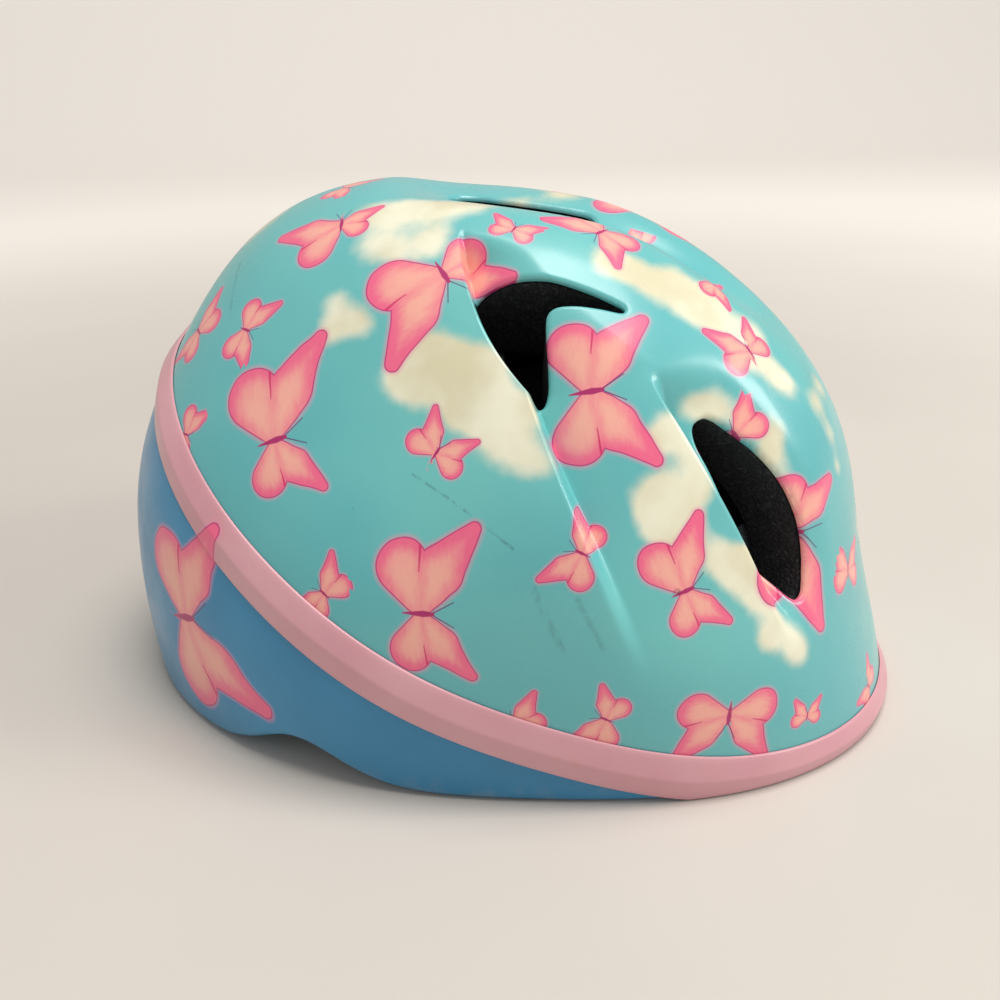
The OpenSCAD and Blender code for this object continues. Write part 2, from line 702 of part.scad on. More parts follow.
// Belt from the outer end of its rack round to the push pin at the temple
belt_inset = 9;
belt_rise = 6;
belt_from = 138;
belt_to = 88;
belt_end = cavity_wall(belt_to, dial_z + belt_rise, belt_inset);
module belt(s) {
    z = dial_z + s * (pitch_r + rack_clear + rack_h / 2);
    start = rack_from + rack_l;
    y = rack_y + rack_t / 2;
    steps = 6;
    up = [0, 0, 1];
    tape(concat([[[start, y, z], up], [[start + 6, y, z], up]],
        [for (i = [0:steps])
            let (p = cavity_wall(mix(belt_from, belt_to, i / steps), 0, belt_inset))
            [[p.x, p.y, mix(z, dial_z + belt_rise, min(1, i / 3))], up]]),
        belt_h, belt_t);
}
module belt_left() { color("black") belt(1); }
module belt_right() { color("black") mirror([1, 0, 0]) belt(-1); }

// Push pin that fixes the front end of each belt to the foam
belt_pin_r = 2.5;
belt_pin_head_t = 1.5;
module belt_pins() {
    y = belt_end.y - belt_pin_r - 0.4;
    head_x = belt_end.x - belt_t / 2 - 0.4 - belt_pin_head_t;
    color("black")
        left_and_right()
            translate([head_x, y, belt_end.z]) rotate([0, 90, 0]) {
                cylinder(r = 2 * belt_pin_r, h = belt_pin_head_t);
                cylinder(r = belt_pin_r, h = cavity_wall(belt_to, 0, layer_gap).x - head_x - 0.2);
            }
}

nape_pad_t = 4;
module nape_pad() {
    color("slategray")
        translate([-19, housing_y - cover_t - 0.1 - layer_gap - nape_pad_t, dial_z - 8])
            cube([38, nape_pad_t, 16]);
}

top_shell();
edge_band();
lower_shell();
foam_liner();
brow_pad();
crown_pad_left();
crown_pad_right();
temple_pad_left();
temple_pad_right();
rear_pad_left();
rear_pad_right();
hook_dots();
strap_anchors();
front_strap_left();
front_strap_right();
rear_strap_left();
rear_strap_right();
slider_left();
slider_right();
chin_strap_left();
chin_strap_right();
strap_tail();
strap_keeper();
buckle_socket();
buckle_tongue();
buckle_prong_front();
buckle_prong_rear();
dial_housing();
housing_cover();
cover_screws();
fit_dial();
fit_pinion();
rack_left();
rack_right();
belt_left();
belt_right();
belt_pins();
nape_pad();
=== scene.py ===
import math

import bpy
import bmesh
import numpy as np
from mathutils import Matrix, Vector


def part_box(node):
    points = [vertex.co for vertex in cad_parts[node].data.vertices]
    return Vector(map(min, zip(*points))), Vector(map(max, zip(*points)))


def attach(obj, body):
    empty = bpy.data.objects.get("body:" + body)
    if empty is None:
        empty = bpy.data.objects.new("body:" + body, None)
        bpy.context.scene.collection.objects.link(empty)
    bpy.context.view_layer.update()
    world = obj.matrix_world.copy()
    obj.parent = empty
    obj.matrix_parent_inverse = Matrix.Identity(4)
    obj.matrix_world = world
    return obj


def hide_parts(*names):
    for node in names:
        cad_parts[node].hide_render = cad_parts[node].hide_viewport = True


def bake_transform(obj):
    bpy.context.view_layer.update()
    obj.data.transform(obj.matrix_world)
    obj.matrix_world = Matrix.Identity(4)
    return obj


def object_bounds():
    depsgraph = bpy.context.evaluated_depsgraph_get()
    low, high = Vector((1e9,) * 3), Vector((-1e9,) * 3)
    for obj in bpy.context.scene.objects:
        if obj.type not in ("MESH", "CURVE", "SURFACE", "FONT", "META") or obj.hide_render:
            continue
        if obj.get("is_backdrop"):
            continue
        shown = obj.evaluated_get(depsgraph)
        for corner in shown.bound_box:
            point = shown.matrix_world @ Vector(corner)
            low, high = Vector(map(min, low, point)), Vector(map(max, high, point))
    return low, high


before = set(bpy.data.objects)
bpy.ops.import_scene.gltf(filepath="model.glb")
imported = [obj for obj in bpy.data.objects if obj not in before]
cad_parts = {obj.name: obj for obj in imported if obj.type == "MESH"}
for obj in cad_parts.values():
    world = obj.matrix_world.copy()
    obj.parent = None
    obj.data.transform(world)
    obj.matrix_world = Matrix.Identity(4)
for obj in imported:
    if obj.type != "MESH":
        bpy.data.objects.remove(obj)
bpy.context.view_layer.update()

# ---- Camera ----------------------------------------------------------------------------------------
# It stands off the wearer's right side, a little above the crown and turned towards the brow.

camera_at = Vector((-0.2723, -0.1085, 0.1742))
look_at = Vector((-0.0174, -0.0055, 0.0540))
camera_roll = math.radians(1.49)
camera = bpy.data.objects.new("camera", bpy.data.cameras.new("camera"))
camera.data.lens = 36.2
camera.data.sensor_width = 36
camera.data.clip_start = 0.01
camera.location = camera_at
camera.rotation_mode = "QUATERNION"
camera.rotation_quaternion = (
    (look_at - camera_at).to_track_quat("-Z", "Y")
    @ Matrix.Rotation(-camera_roll, 3, "Z").to_quaternion()
)
bpy.context.scene.collection.objects.link(camera)
bpy.context.scene.camera = camera
bpy.context.scene.view_settings.view_transform = "Standard"

# ---- Smooth form -----------------------------------------------------------------------------------
# Both shells and the foam are moulded over one egg with bulges, a crown channel, a raised centre
# panel and two steps down each side. Angles are in degrees and lengths in millimetres here.

MM = 0.001
FORM_CENTRE = np.array([0.0, -2.0, 40.0])
BULGES = [  # bearing, elevation, spread, height
    (180, 50, 0.30, 6), (180, 26, 0.28, -9), (180, -8, 0.35, 3), (90, -5, 0.40, 6.5),
    (90, 42, 0.40, -11.5), (0, 42, 0.42, -18.5), (0, 2, 0.35, -19.5), (38, -8, 0.30, 4.5),
    (0, 90, 0.45, -6), (138, 45, 0.32, -8), (45, 30, 0.35, -10), (54, 27, 0.30, 12)]
STEP_RUN = 3.0
STEP_DEPTH, BROW_STEP_DEPTH, CHANNEL_DEPTH = 7.0, 6.5, 6.0


def ease(t):
    t = np.clip(t, 0, 1)
    return t * t * (3 - 2 * t)


def swell(t):
    return 1 / (1 + np.exp(-t))


def mix(a, b, t):
    return a * (1 - t) + b * t


def aim(bearing, elevation):
    a, e = np.radians(bearing), np.radians(elevation)
    return np.stack([np.sin(a) * np.cos(e), -np.cos(a) * np.cos(e), np.sin(e) + 0 * a], -1)


def form_radius(d):
    reach = mix(130, 120, swell(6 * d[..., 1]))
    rise = mix(175, 115, swell(8 * d[..., 2]))
    side = 86 * (1 + 0.15 * d[..., 1])
    plan = (np.abs(d[..., 0]) / side) ** 2.1 + (np.abs(d[..., 1]) / reach) ** 2.1
    r = (plan ** (2.3 / 2.1) + (np.abs(d[..., 2]) / rise) ** 2.3) ** (-1 / 2.3)
    for bearing, elevation, spread, height in BULGES:
        for side in (bearing,) if bearing % 180 == 0 else (bearing, -bearing):
            r = r + height * np.exp((d @ aim(side, elevation) - 1) / spread ** 2)
    return r


def lean(e):
    return 0.32 * np.maximum(0, e) + 0.6 * np.maximum(0, e - 44)


def column(a, e):
    b = np.abs(a)
    return a + np.sign(a) * lean(e) * ease(b / 20) * ease((165 - b) / 100)


def relief_radius(a, e):
    d = aim(a, e)
    r = form_radius(d)
    b, x, y = np.abs((a + 180) % 360 - 180), np.abs(r * d[..., 0]), r * d[..., 1]
    channel = (CHANNEL_DEPTH * ease((y + 85) / 45) * ease((38 - y) / 26) * ease((e - 20) / 20)
               * (1 - ease(x / (11 + 16 * swell((y + 22) / 9)))))
    off_plateau = ease((x - np.clip(32.6 + 0.16 * y, 20, 32)) / 6)
    rear, brow, ridge = 48 + lean(e), 24 + lean(e), 15 + 0.012 * (e - 12) ** 2
    side = (STEP_DEPTH * np.clip((b - brow) / (rear - brow), 0, 1) ** 1.4
            * ease((rear + STEP_RUN - b) / STEP_RUN) * ease((e + 4) / 38)
            * off_plateau * ease((84 - e) / 10))
    front = (BROW_STEP_DEPTH * np.clip((b - ridge) / (brow - ridge), 0, 1)
             * ease((brow + STEP_RUN - b) / STEP_RUN) * ease((e + 2) / 12) * ease((44 - e) / 8))
    return r - channel - side - front


def skin(a, e, depth=0.0):
    """Point of the shells' outer face at a bearing on the rim and an elevation, moved inward."""
    a, e = column(a, e), np.asarray(e, float)
    r = relief_radius(a, e)
    return FORM_CENTRE + aim(a, e) * (r - depth)[..., None]


def edge_z(y):
    return 8 + 92 * (np.maximum(0, y + 2 + 116) / 206) ** 1.7


def rim_z(y):
    return 11 * np.exp(-(((y + 2 - 27) / 19) ** 2))


def joint_z(y):
    return np.maximum(edge_z(y) - 7, rim_z(y) + 4)


def elevation(a, line, shift=0.0):
    """Elevation at which the skin meets a line that is a height over y."""
    low, high = np.full(a.shape, -45.0), np.full(a.shape, 60.0)
    for _ in range(22):
        e = (low + high) / 2
        p = skin(a, e)
        under = p[..., 2] < line(p[..., 1]) + shift
        low, high = np.where(under, e, low), np.where(under, high, e)
    return (low + high) / 2


def spaced(zones, coarse, fine):
    """Bearings from -180 to 180, closer together near the steps."""
    half = [0.0]
    while half[-1] < 180:
        near = any(low <= half[-1] < high for low, high in zones)
        half.append(half[-1] + (fine if near else coarse))
    half = np.array(half) * 180 / half[-1]
    return np.concatenate([-half[:0:-1], half])


# ---- Vent outlines ---------------------------------------------------------------------------------
# Each side has a hooked vent at the temple and a leaf-shaped one over the brow, and one long slot
# lies in the crown channel. Outlines are drawn flat, in a frame that faces out of the helmet.

OVAL = [(-5.5, 20.6), (-8.0, 19.4), (-8.7, 15), (-7.6, 8), (-6.3, 0), (-4.9, -9), (-2.0, -18),
        (2.4, -25.5), (5.2, -29.8), (7.3, -30.9), (9.6, -29.4), (11.4, -24), (12.1, -17),
        (11.3, -9), (8.6, 0), (4.2, 8.5), (-1.0, 16), (-3.4, 19.4)]
HOOK = [(-9.8, 11.6), (-8.9, 13.7), (-6, 15), (0, 15.2), (8, 13.4), (15, 10.7), (22, 7.3),
        (26.2, 4.8), (25.6, 3.5), (20, 4.5), (13, 5.5), (9.6, 5.5), (7.6, 4), (7.1, 0), (7.2, -7),
        (7, -13), (5.6, -16.2), (3.2, -15.2), (-0.5, -11.2), (-4.5, -5), (-8, 3)]
SLOT = [(x * (6.4 - 0.035 * y), y + 6.5 * dy) for x, y, dy in
        [(0, 10, 1), (0.62, 10, 0.8), (0.95, 9, 0.3), (1, 4, 0), (1.02, -10, 0), (1, -18, 0),
         (0.95, -20, -0.4), (0.62, -20, -0.85), (0, -20, -1.05), (-0.62, -20, -0.85),
         (-0.95, -20, -0.4), (-1, -18, 0), (-1.02, -10, 0), (-1, 4, 0), (-0.95, 9, 0.3),
         (-0.62, 10, 0.8)]]


def rounded(points, steps=6):
    """Closed smooth curve through the points."""
    p = np.array(points, float)
    before, after, beyond = np.roll(p, 1, 0), np.roll(p, -1, 0), np.roll(p, -2, 0)
    out = []
    for t in np.arange(steps) / steps:
        out.append(0.5 * (2 * p + (after - before) * t
                          + (2 * before - 5 * p + 4 * after - beyond) * t ** 2
                          + (3 * p - before - 3 * after + beyond) * t ** 3))
    return np.stack(out, 1).reshape(-1, 2)


def vent_frame(bearing, elev, mirrored):
    a, e = math.radians(bearing), math.radians(elev)
    across = np.array([math.cos(a), math.sin(a), 0.0]) * (-1 if mirrored else 1)
    climb = np.array([-math.sin(a) * math.sin(e), math.cos(a) * math.sin(e), math.cos(e)])
    return across, climb, aim(bearing, elev)


VENTS = [(rounded(SLOT), vent_frame(0, 90, False))]
for side in (-1, 1):
    VENTS.append((rounded(OVAL), vent_frame(26 * side, 22, side > 0)))
    VENTS.append((rounded(HOOK), vent_frame(66 * side, 54, side > 0)))


def outline_distance(q, outline):
    """Signed distance of flat points to a closed outline, negative inside it."""
    a, b = outline, np.roll(outline, -1, 0)
    best, inside = np.full(len(q), 1e9), np.zeros(len(q), bool)
    for (ax, ay), (bx, by) in zip(a, b):
        dx, dy = bx - ax, by - ay
        t = np.clip(((q[:, 0] - ax) * dx + (q[:, 1] - ay) * dy) / (dx * dx + dy * dy), 0, 1)
        best = np.minimum(best, np.hypot(q[:, 0] - ax - t * dx, q[:, 1] - ay - t * dy))
        crosses = (ay > q[:, 1]) != (by > q[:, 1])
        inside ^= crosses & (q[:, 0] < ax + (q[:, 1] - ay) * dx / (dy if dy else 1e-9))
    return np.where(inside, -best, best)


def vent_distance(points):
    """Distance in millimetres from points on the skin to the nearest vent edge."""
    best = np.full(len(points), 1e9)
    for outline, (across, climb, out) in VENTS:
        q = points - FORM_CENTRE
        near = (q @ out > 30) & (np.abs(q @ across) < 45) & (np.abs(q @ climb) < 50)
        flat = np.stack([q[near] @ across, q[near] @ climb], -1)
        best[near] = np.minimum(best[near], outline_distance(flat, outline))
    return best


def mesh_object(name, points, faces, smooth=True):
    mesh = bpy.data.meshes.new(name)
    mesh.from_pydata((np.asarray(points) * MM).tolist(), [], faces)
    mesh.validate()
    made = bpy.data.objects.new(name, mesh)
    bpy.context.scene.collection.objects.link(made)
    mesh.polygons.foreach_set("use_smooth", [smooth] * len(mesh.polygons))
    return made


CUT_DEPTHS = (45, 195)


def cut_vents(piece):
    """Cuts every vent through a closed piece and applies the cut."""
    bpy.context.view_layer.update()
    for k, (outline, (across, climb, out)) in enumerate(VENTS):
        n = len(outline)
        ring = [FORM_CENTRE + across * u + climb * v + out * w
                for w in CUT_DEPTHS for u, v in outline]
        faces = [[i, (i + 1) % n, n + (i + 1) % n, n + i] for i in range(n)]
        faces += [list(range(n))[::-1], list(range(n, 2 * n))]
        cutter = mesh_object("cutter", ring, faces, False)
        turned = bmesh.new()
        turned.from_mesh(cutter.data)
        bmesh.ops.recalc_face_normals(turned, faces=turned.faces)
        turned.to_mesh(cutter.data)
        turned.free()
        cut = piece.modifiers.new("cut", "BOOLEAN")
        cut.operation, cut.solver, cut.object = "DIFFERENCE", "MANIFOLD", cutter
        bpy.context.view_layer.update()
        done = bpy.data.meshes.new_from_object(
            piece.evaluated_get(bpy.context.evaluated_depsgraph_get()))
        piece.modifiers.clear()
        piece.data = done
        bpy.data.objects.remove(cutter)


def crease_sharp(piece, angle):
    """Smooth shading, with edges sharper than the angle kept crisp."""
    piece.data.polygons.foreach_set("use_smooth", [True] * len(piece.data.polygons))
    piece.data.set_sharp_from_angle(angle=math.radians(angle))


# ---- Print -----------------------------------------------------------------------------------------
# The film is printed before moulding: soft clouds on turquoise, and butterflies with magenta outlines.
# Each mesh corner stores its place on the nearest butterfly, so the drawing is crisp at any scale.

BUTTERFLIES = [  # bearing, elevation, heading, right wing tip (out, ahead), left wing tip
    (-139, 64, -28, (12, 4), (21, 3)), (-89, 63, 140, (25, 13), (16, 9)),
    (-150, 37, -80, (14, 4), (13, 4)), (-136, 43, 96, (11, 7), (11, 7)),
    (-116, 31, 65, (17, 11), (26, 17)), (-135, 25, 90, (6, 4), (9, 7)),
    (-83, 35, 27, (8, 8), (8, 9)), (-51, 43, 88, (20, 14), (19, 15)),
    (-83, 9, 88, (17, 12), (23, 13)), (-100, 10, -55, (10, 5), (8, 4)),
    (-58, 19, -63, (9, 5), (11, 6)), (-42, 11, 74, (13, 8), (17, 10)),
    (-69, -9, -31, (10, 5), (9, 5)), (-55, -8, -64, (9, 5), (11, 5)),
    (-37, -9, -172, (14, 13), (14, 13)), (-24, -12, 13, (5, 5), (6, 5)),
    (-20, 14, 115, (25, 14), (17, 10)), (-26, 31, -36, (11, 5), (9, 4)),
    (-16, 41, -8, (8, 8), (10, 10)), (-28, 68, -106, (14, 8), (13, 7)),
    (-64, 72, 29, (8, 4), (8, 4)), (-15, 87, 83, (17, 6), (15, 6)),
    (-8, 52, 150, (9, 5), (9, 5)), (-9, 4, 20, (10, 8), (12, 7)),
    (-168, 66, 60, (10, 5), (10, 5)), (-176, 44, 15, (13, 9), (14, 8)),
    (-162, 12, -60, (13, 8), (13, 8)), (-8, -14, -40, (8, 5), (8, 5)),
    (11, 26, 60, (11, 7), (9, 6)), (30, 66, 120, (20, 12), (18, 11)),
    (62, 72, -40, (9, 6), (8, 6)), (28, 33, 60, (11, 6), (10, 5)),
    (22, 10, -110, (17, 11), (16, 10)), (44, 12, -70, (14, 9), (16, 9)),
    (36, -9, 165, (13, 11), (14, 12)), (20, -12, -15, (6, 5), (5, 5)),
    (57, 43, -85, (20, 13), (20, 14)), (58, 18, 60, (10, 5), (9, 5)),
    (56, -8, 70, (9, 5), (10, 5)), (84, 10, -88, (22, 13), (18, 12)),
    (84, 35, -30, (8, 8), (9, 8)), (70, -9, 30, (9, 5), (9, 5)),
    (95, 63, -140, (17, 10), (22, 12)), (101, 11, 60, (9, 5), (9, 5)),
    (117, 31, -65, (22, 15), (18, 11)), (137, 43, -90, (11, 7), (11, 7)),
    (139, 63, 20, (18, 7), (14, 6)), (152, 32, 70, (13, 8), (15, 8)),
    (134, 22, -80, (8, 5), (8, 5)), (164, 13, 130, (11, 7), (11, 7)),
    (2, 66, -10, (7, 5), (7, 5))]
OVER_BAND = [  # these run on over the band and the lower shell
    (-128, -2, 75, (28, 25), (27, 22)), (131, -3, -80, (25, 20), (27, 22)),
    (176, -14, 20, (16, 10), (15, 10)), (-104, -24, 130, (7, 4), (7, 4)),
    (100, -25, 100, (8, 5), (8, 5))]
REFERENCE_TIP = (0.80, 0.44)
FULL_LINE_SIZE = 22  # wing size in millimetres whose lines have their full weight
OFF_PRINT = 9.0  # place, in wing sizes, that lies outside every butterfly


def butterfly_frames(rows):
    frames = []
    for bearing, elev, heading, right, left in rows:
        d = aim(np.array(float(bearing)), np.array(float(elev)))
        centre = FORM_CENTRE + d * relief_radius(np.array(float(bearing)), np.array(float(elev)))
        step = 1.5
        east = (FORM_CENTRE + aim(bearing + step, elev) * form_radius(aim(bearing + step, elev))
                - FORM_CENTRE - aim(bearing - step, elev) * form_radius(aim(bearing - step, elev)))
        north = (aim(bearing, elev + step) * form_radius(aim(bearing, elev + step))
                 - aim(bearing, elev - step) * form_radius(aim(bearing, elev - step)))
        out = np.cross(east, north)
        out /= np.linalg.norm(out)
        out *= np.sign(out @ d)
        up = np.array([0.0, 0.0, 1.0]) - out * out[2]
        up /= np.linalg.norm(up)
        right_hand = np.cross(up, out)
        h = math.radians(heading)
        ahead = up * math.cos(h) + right_hand * math.sin(h)
        side = np.cross(ahead, out)
        wings = []
        for tip in (right, left):
            size = math.hypot(*tip) / math.hypot(*REFERENCE_TIP)
            turn = math.atan2(tip[1], tip[0]) - math.atan2(REFERENCE_TIP[1], REFERENCE_TIP[0])
            wings.append((size, turn))
        frames.append((centre, side, ahead, out, wings))
    return frames


def store_print(piece, rows):
    """Writes each corner's place on its butterfly and the weight of that butterfly's lines."""
    mesh = piece.data
    co = np.zeros(len(mesh.vertices) * 3)
    mesh.vertices.foreach_get("co", co)
    co = co.reshape(-1, 3) / MM
    loops = np.zeros(len(mesh.loops), int)
    mesh.loops.foreach_get("vertex_index", loops)
    counts = np.array([p.loop_total for p in mesh.polygons])
    face_of = np.repeat(np.arange(len(counts)), counts)
    centres = np.zeros(len(counts) * 3)
    mesh.polygons.foreach_get("center", centres)
    centres = centres.reshape(-1, 3) / MM
    nearest, best = np.full(len(counts), -1), np.full(len(counts), 1.5)
    frames = butterfly_frames(rows)
    for k, (centre, side, ahead, out, wings) in enumerate(frames):
        q = centres - centre
        u, v = q @ side, q @ ahead
        size = np.where(u > 0, wings[0][0], wings[1][0])
        reach = np.where(np.abs(q @ out) < 30, np.hypot(u, v) / size, OFF_PRINT)
        closer = reach < best
        nearest[closer], best[closer] = k, reach[closer]
    place = np.tile([OFF_PRINT, OFF_PRINT, 1.0], (len(loops), 1))
    middle = place.copy()
    which = nearest[face_of]
    for k, (centre, side, ahead, out, wings) in enumerate(frames):
        at = which == k
        q = co[loops[at]] - centre
        u, v = q @ side, q @ ahead
        mid = np.bincount(face_of[at], u, len(counts))[face_of[at]] > 0
        made = np.zeros((at.sum(), 3))
        for is_right, (size, turn) in zip((True, False), wings):
            s = mid == is_right
            w = u[s] if is_right else -u[s]
            made[s, 0] = (w * math.cos(turn) + v[s] * math.sin(turn)) / size
            made[s, 1] = (v[s] * math.cos(turn) - w * math.sin(turn)) / size
            made[s, 2] = (FULL_LINE_SIZE / size) ** 0.5
        place[at] = made
        size = (wings[0][0] + wings[1][0]) / 2
        middle[at] = np.stack([u / size, v / size, 0 * u + (FULL_LINE_SIZE / size) ** 0.5], -1)
    for name, values in (("print_place", place), ("print_middle", middle)):
        layer = mesh.attributes.new(name, "FLOAT_VECTOR", "CORNER")
        layer.data.foreach_set("vector", values.astype(np.float32).ravel())


CLOUDS = [  # bearing, elevation, radius in millimetres
    (-133, 68, 8), (-124, 72, 8), (-109, 76, 9), (-90, 80, 8), (64, 87, 8), (-120, 64, 7),
    (-108, 65, 6), (-99, 68, 6), (-117, 54, 6), (-109, 53, 5), (-115, 50, 5),
    (-94, 46, 6), (-91, 49, 7), (-86, 50, 7), (-79, 50, 6), (-73, 48, 6), (-85, 46, 7),
    (-77, 44, 7), (-71, 43, 7), (-65, 41, 6), (-72, 38, 6), (-67, 35, 6), (-63, 32, 5),
    (-79, 41, 5), (-40, 35, 5), (-38, 33, 5), (-43, 33, 4), (-46, 25, 5), (-43, 27, 5),
    (-42, 24, 5), (-45, 21, 5), (-43, 19, 5), (-40, 20, 5), (-37, 29, 5), (-37, 25, 5),
    (-37, 16, 5), (-35, 13, 5), (-33, 10, 5), (-31, 7, 5), (-28, 4, 5), (-26, 0, 5),
    (-25, -3, 5), (-30, 1, 4), (-32, 14, 4), (-29, 8, 4), (-35, 62, 6), (-31, 60, 6),
    (-28, 56, 6), (-23, 52, 6), (-22, 49, 6), (-18, 46, 7), (-17, 41, 6), (-14, 37, 6),
    (-19, 56, 6), (-14, 50, 6), (-11, 43, 6), (-12, 34, 5), (-32, 37, 5), (-28, 36, 5),
    (-24, 33, 5), (-22, 26, 5), (-21, 21, 5), (-20, 29, 5), (-6, 29, 5), (-6, 24, 5),
    (-7, 19, 4), (0, 30, 5), (6, 12, 7), (12, 8, 6), (2, 6, 6), (20, 58, 7), (26, 52, 8),
    (16, 50, 7), (34, 60, 7), (52, 78, 8), (70, 74, 8), (90, 72, 8), (104, 66, 8), (78, 46, 7),
    (86, 44, 8), (94, 47, 7), (72, 42, 6), (102, 42, 6), (44, 27, 6), (47, 22, 6), (42, 18, 6),
    (38, 12, 6), (34, 6, 6), (70, 4, 7), (76, 0, 7), (64, 0, 6), (120, 16, 7), (128, 14, 7),
    (114, 12, 6), (150, 52, 8), (160, 56, 8), (-172, 54, 8), (-166, 50, 7), (168, 32, 7),
    (176, 28, 8), (-176, 30, 7), (-168, 26, 7), (-140, 12, 6), (-146, 10, 7), (-152, 13, 6)]


def store_clouds(piece):
    mesh = piece.data
    co = np.zeros(len(mesh.vertices) * 3)
    mesh.vertices.foreach_get("co", co)
    d = co.reshape(-1, 3) / MM - FORM_CENTRE
    thick = np.zeros(len(d))
    for bearing, elev, radius in CLOUDS:
        b, e = np.array(float(bearing)), np.array(float(elev))
        middle = aim(b, e) * relief_radius(b, e)
        thick += 1.2 * np.exp(-((np.linalg.norm(d - middle, axis=1) / radius) ** 2))
    layer = mesh.attributes.new("cloud", "FLOAT", "POINT")
    layer.data.foreach_set("value", thick.astype(np.float32))


# ---- Shader parts of the print ---------------------------------------------------------------------
# A lobe is the distance to a tapered stroke. Wings, body and feelers are all strokes, and the
# outline lies wherever the distance is nearly zero.

def shade(r, g, b):
    """Colour from its 0 to 255 values."""
    return tuple(((v / 255 + 0.055) / 1.055) ** 2.4 if v > 10 else v / 255 / 12.92
                 for v in (r, g, b)) + (1.0,)


def link(tree, value, socket):
    if isinstance(value, bpy.types.NodeSocket):
        tree.links.new(value, socket)
    else:
        socket.default_value = value


def calc(tree, op, *values):
    node = tree.nodes.new("ShaderNodeMath")
    node.operation = op
    for value, socket in zip(values, node.inputs):
        link(tree, value, socket)
    return node.outputs[0]


def vector(tree, op, *values, out=0):
    node = tree.nodes.new("ShaderNodeVectorMath")
    node.operation = op
    for value, socket in zip(values, node.inputs):
        link(tree, value, socket)
    return node.outputs["Value" if out else "Vector"]


def between(tree, value, low, high, to_low=0.0, to_high=1.0):
    """Smooth rise of a value from one level to another."""
    node = tree.nodes.new("ShaderNodeMapRange")
    node.interpolation_type = "SMOOTHSTEP"
    for level, name in ((value, "Value"), (low, "From Min"), (high, "From Max"),
                        (to_low, "To Min"), (to_high, "To Max")):
        link(tree, level, node.inputs[name])
    return node.outputs[0]


def blend_colour(tree, share, first, second):
    node = tree.nodes.new("ShaderNodeMix")
    node.data_type = "RGBA"
    link(tree, share, node.inputs[0])
    link(tree, first, node.inputs[6])
    link(tree, second, node.inputs[7])
    return node.outputs[2]


def grain(tree, where, scale, detail=2.0, rough=0.5, stretch=None):
    if stretch:
        where = vector(tree, "MULTIPLY", where, stretch)
    node = tree.nodes.new("ShaderNodeTexNoise")
    node.inputs["Scale"].default_value = scale
    node.inputs["Detail"].default_value = detail
    node.inputs["Roughness"].default_value = rough
    tree.links.new(where, node.inputs["Vector"])
    return node.outputs[0]


def new_group(name, inputs, outputs):
    tree = bpy.data.node_groups.new(name, "ShaderNodeTree")
    for label, kind, value in inputs:
        socket = tree.interface.new_socket(label, in_out="INPUT", socket_type=kind)
        socket.default_value = value
    for label, kind in outputs:
        tree.interface.new_socket(label, in_out="OUTPUT", socket_type=kind)
    return tree, tree.nodes.new("NodeGroupInput"), tree.nodes.new("NodeGroupOutput")


def use_group(tree, group, **values):
    node = tree.nodes.new("ShaderNodeGroup")
    node.node_tree = group
    for name, value in values.items():
        link(tree, value, node.inputs[name.replace("_", " ").capitalize()])
    return node.outputs


FLOAT, POINT = "NodeSocketFloat", "NodeSocketVector"
lobe, given, result = new_group(
    "print_stroke",
    [("Place", POINT, (0, 0, 0)), ("From", POINT, (0, 0, 0)), ("To", POINT, (0, 1, 0)),
     ("First radius", FLOAT, 0.1), ("Last radius", FLOAT, 0.1)], [("Distance", FLOAT)])
run = vector(lobe, "SUBTRACT", given.outputs["To"], given.outputs["From"])
reach = vector(lobe, "SUBTRACT", given.outputs["Place"], given.outputs["From"])
length = vector(lobe, "LENGTH", run, out=1)
along = calc(lobe, "DIVIDE", vector(lobe, "DOT_PRODUCT", reach, run, out=1), length)
off = calc(lobe, "SQRT", calc(lobe, "MAXIMUM", calc(
    lobe, "SUBTRACT", vector(lobe, "DOT_PRODUCT", reach, reach, out=1),
    calc(lobe, "MULTIPLY", along, along)), 0.0))
widening = calc(lobe, "SUBTRACT", given.outputs["Last radius"], given.outputs["First radius"])
slope = calc(lobe, "DIVIDE", widening, length)
lean_in = calc(lobe, "DIVIDE", slope, calc(
    lobe, "SQRT", calc(lobe, "SUBTRACT", 1.0, calc(lobe, "MULTIPLY", slope, slope))))
share = calc(lobe, "DIVIDE", calc(lobe, "MULTIPLY_ADD", off, lean_in, along), length)
share = calc(lobe, "MINIMUM", calc(lobe, "MAXIMUM", share, 0.0), 1.0)
rest = calc(lobe, "SUBTRACT", along, calc(lobe, "MULTIPLY", share, length))
gap = calc(lobe, "SQRT", calc(lobe, "MULTIPLY_ADD", off, off, calc(lobe, "MULTIPLY", rest, rest)))
radius = calc(lobe, "MULTIPLY_ADD", widening, share, given.outputs["First radius"])
lobe.links.new(calc(lobe, "SUBTRACT", gap, radius), result.inputs[0])

butterfly, given, result = new_group(
    "print_butterfly",
    [("Place", POINT, (OFF_PRINT, OFF_PRINT, 1)), ("Middle", POINT, (OFF_PRINT, OFF_PRINT, 1)),
     ("Wobble", FLOAT, 0.5)],
    [("Wing", FLOAT), ("Line", FLOAT), ("Vein", FLOAT), ("Body", FLOAT), ("Feeler", FLOAT),
     ("Glow", FLOAT), ("Warmth", FLOAT)])


def folded(where, wobble):
    """Point with both wings laid over each other, and the weight of its lines."""
    parts = butterfly.nodes.new("ShaderNodeSeparateXYZ")
    butterfly.links.new(where, parts.inputs[0])
    flat = butterfly.nodes.new("ShaderNodeCombineXYZ")
    out = calc(butterfly, "ADD", calc(butterfly, "ABSOLUTE", parts.outputs[0]), wobble)
    link(butterfly, out, flat.inputs[0])
    link(butterfly, calc(butterfly, "SUBTRACT", parts.outputs[1], wobble), flat.inputs[1])
    return flat.outputs[0], parts.outputs[2]


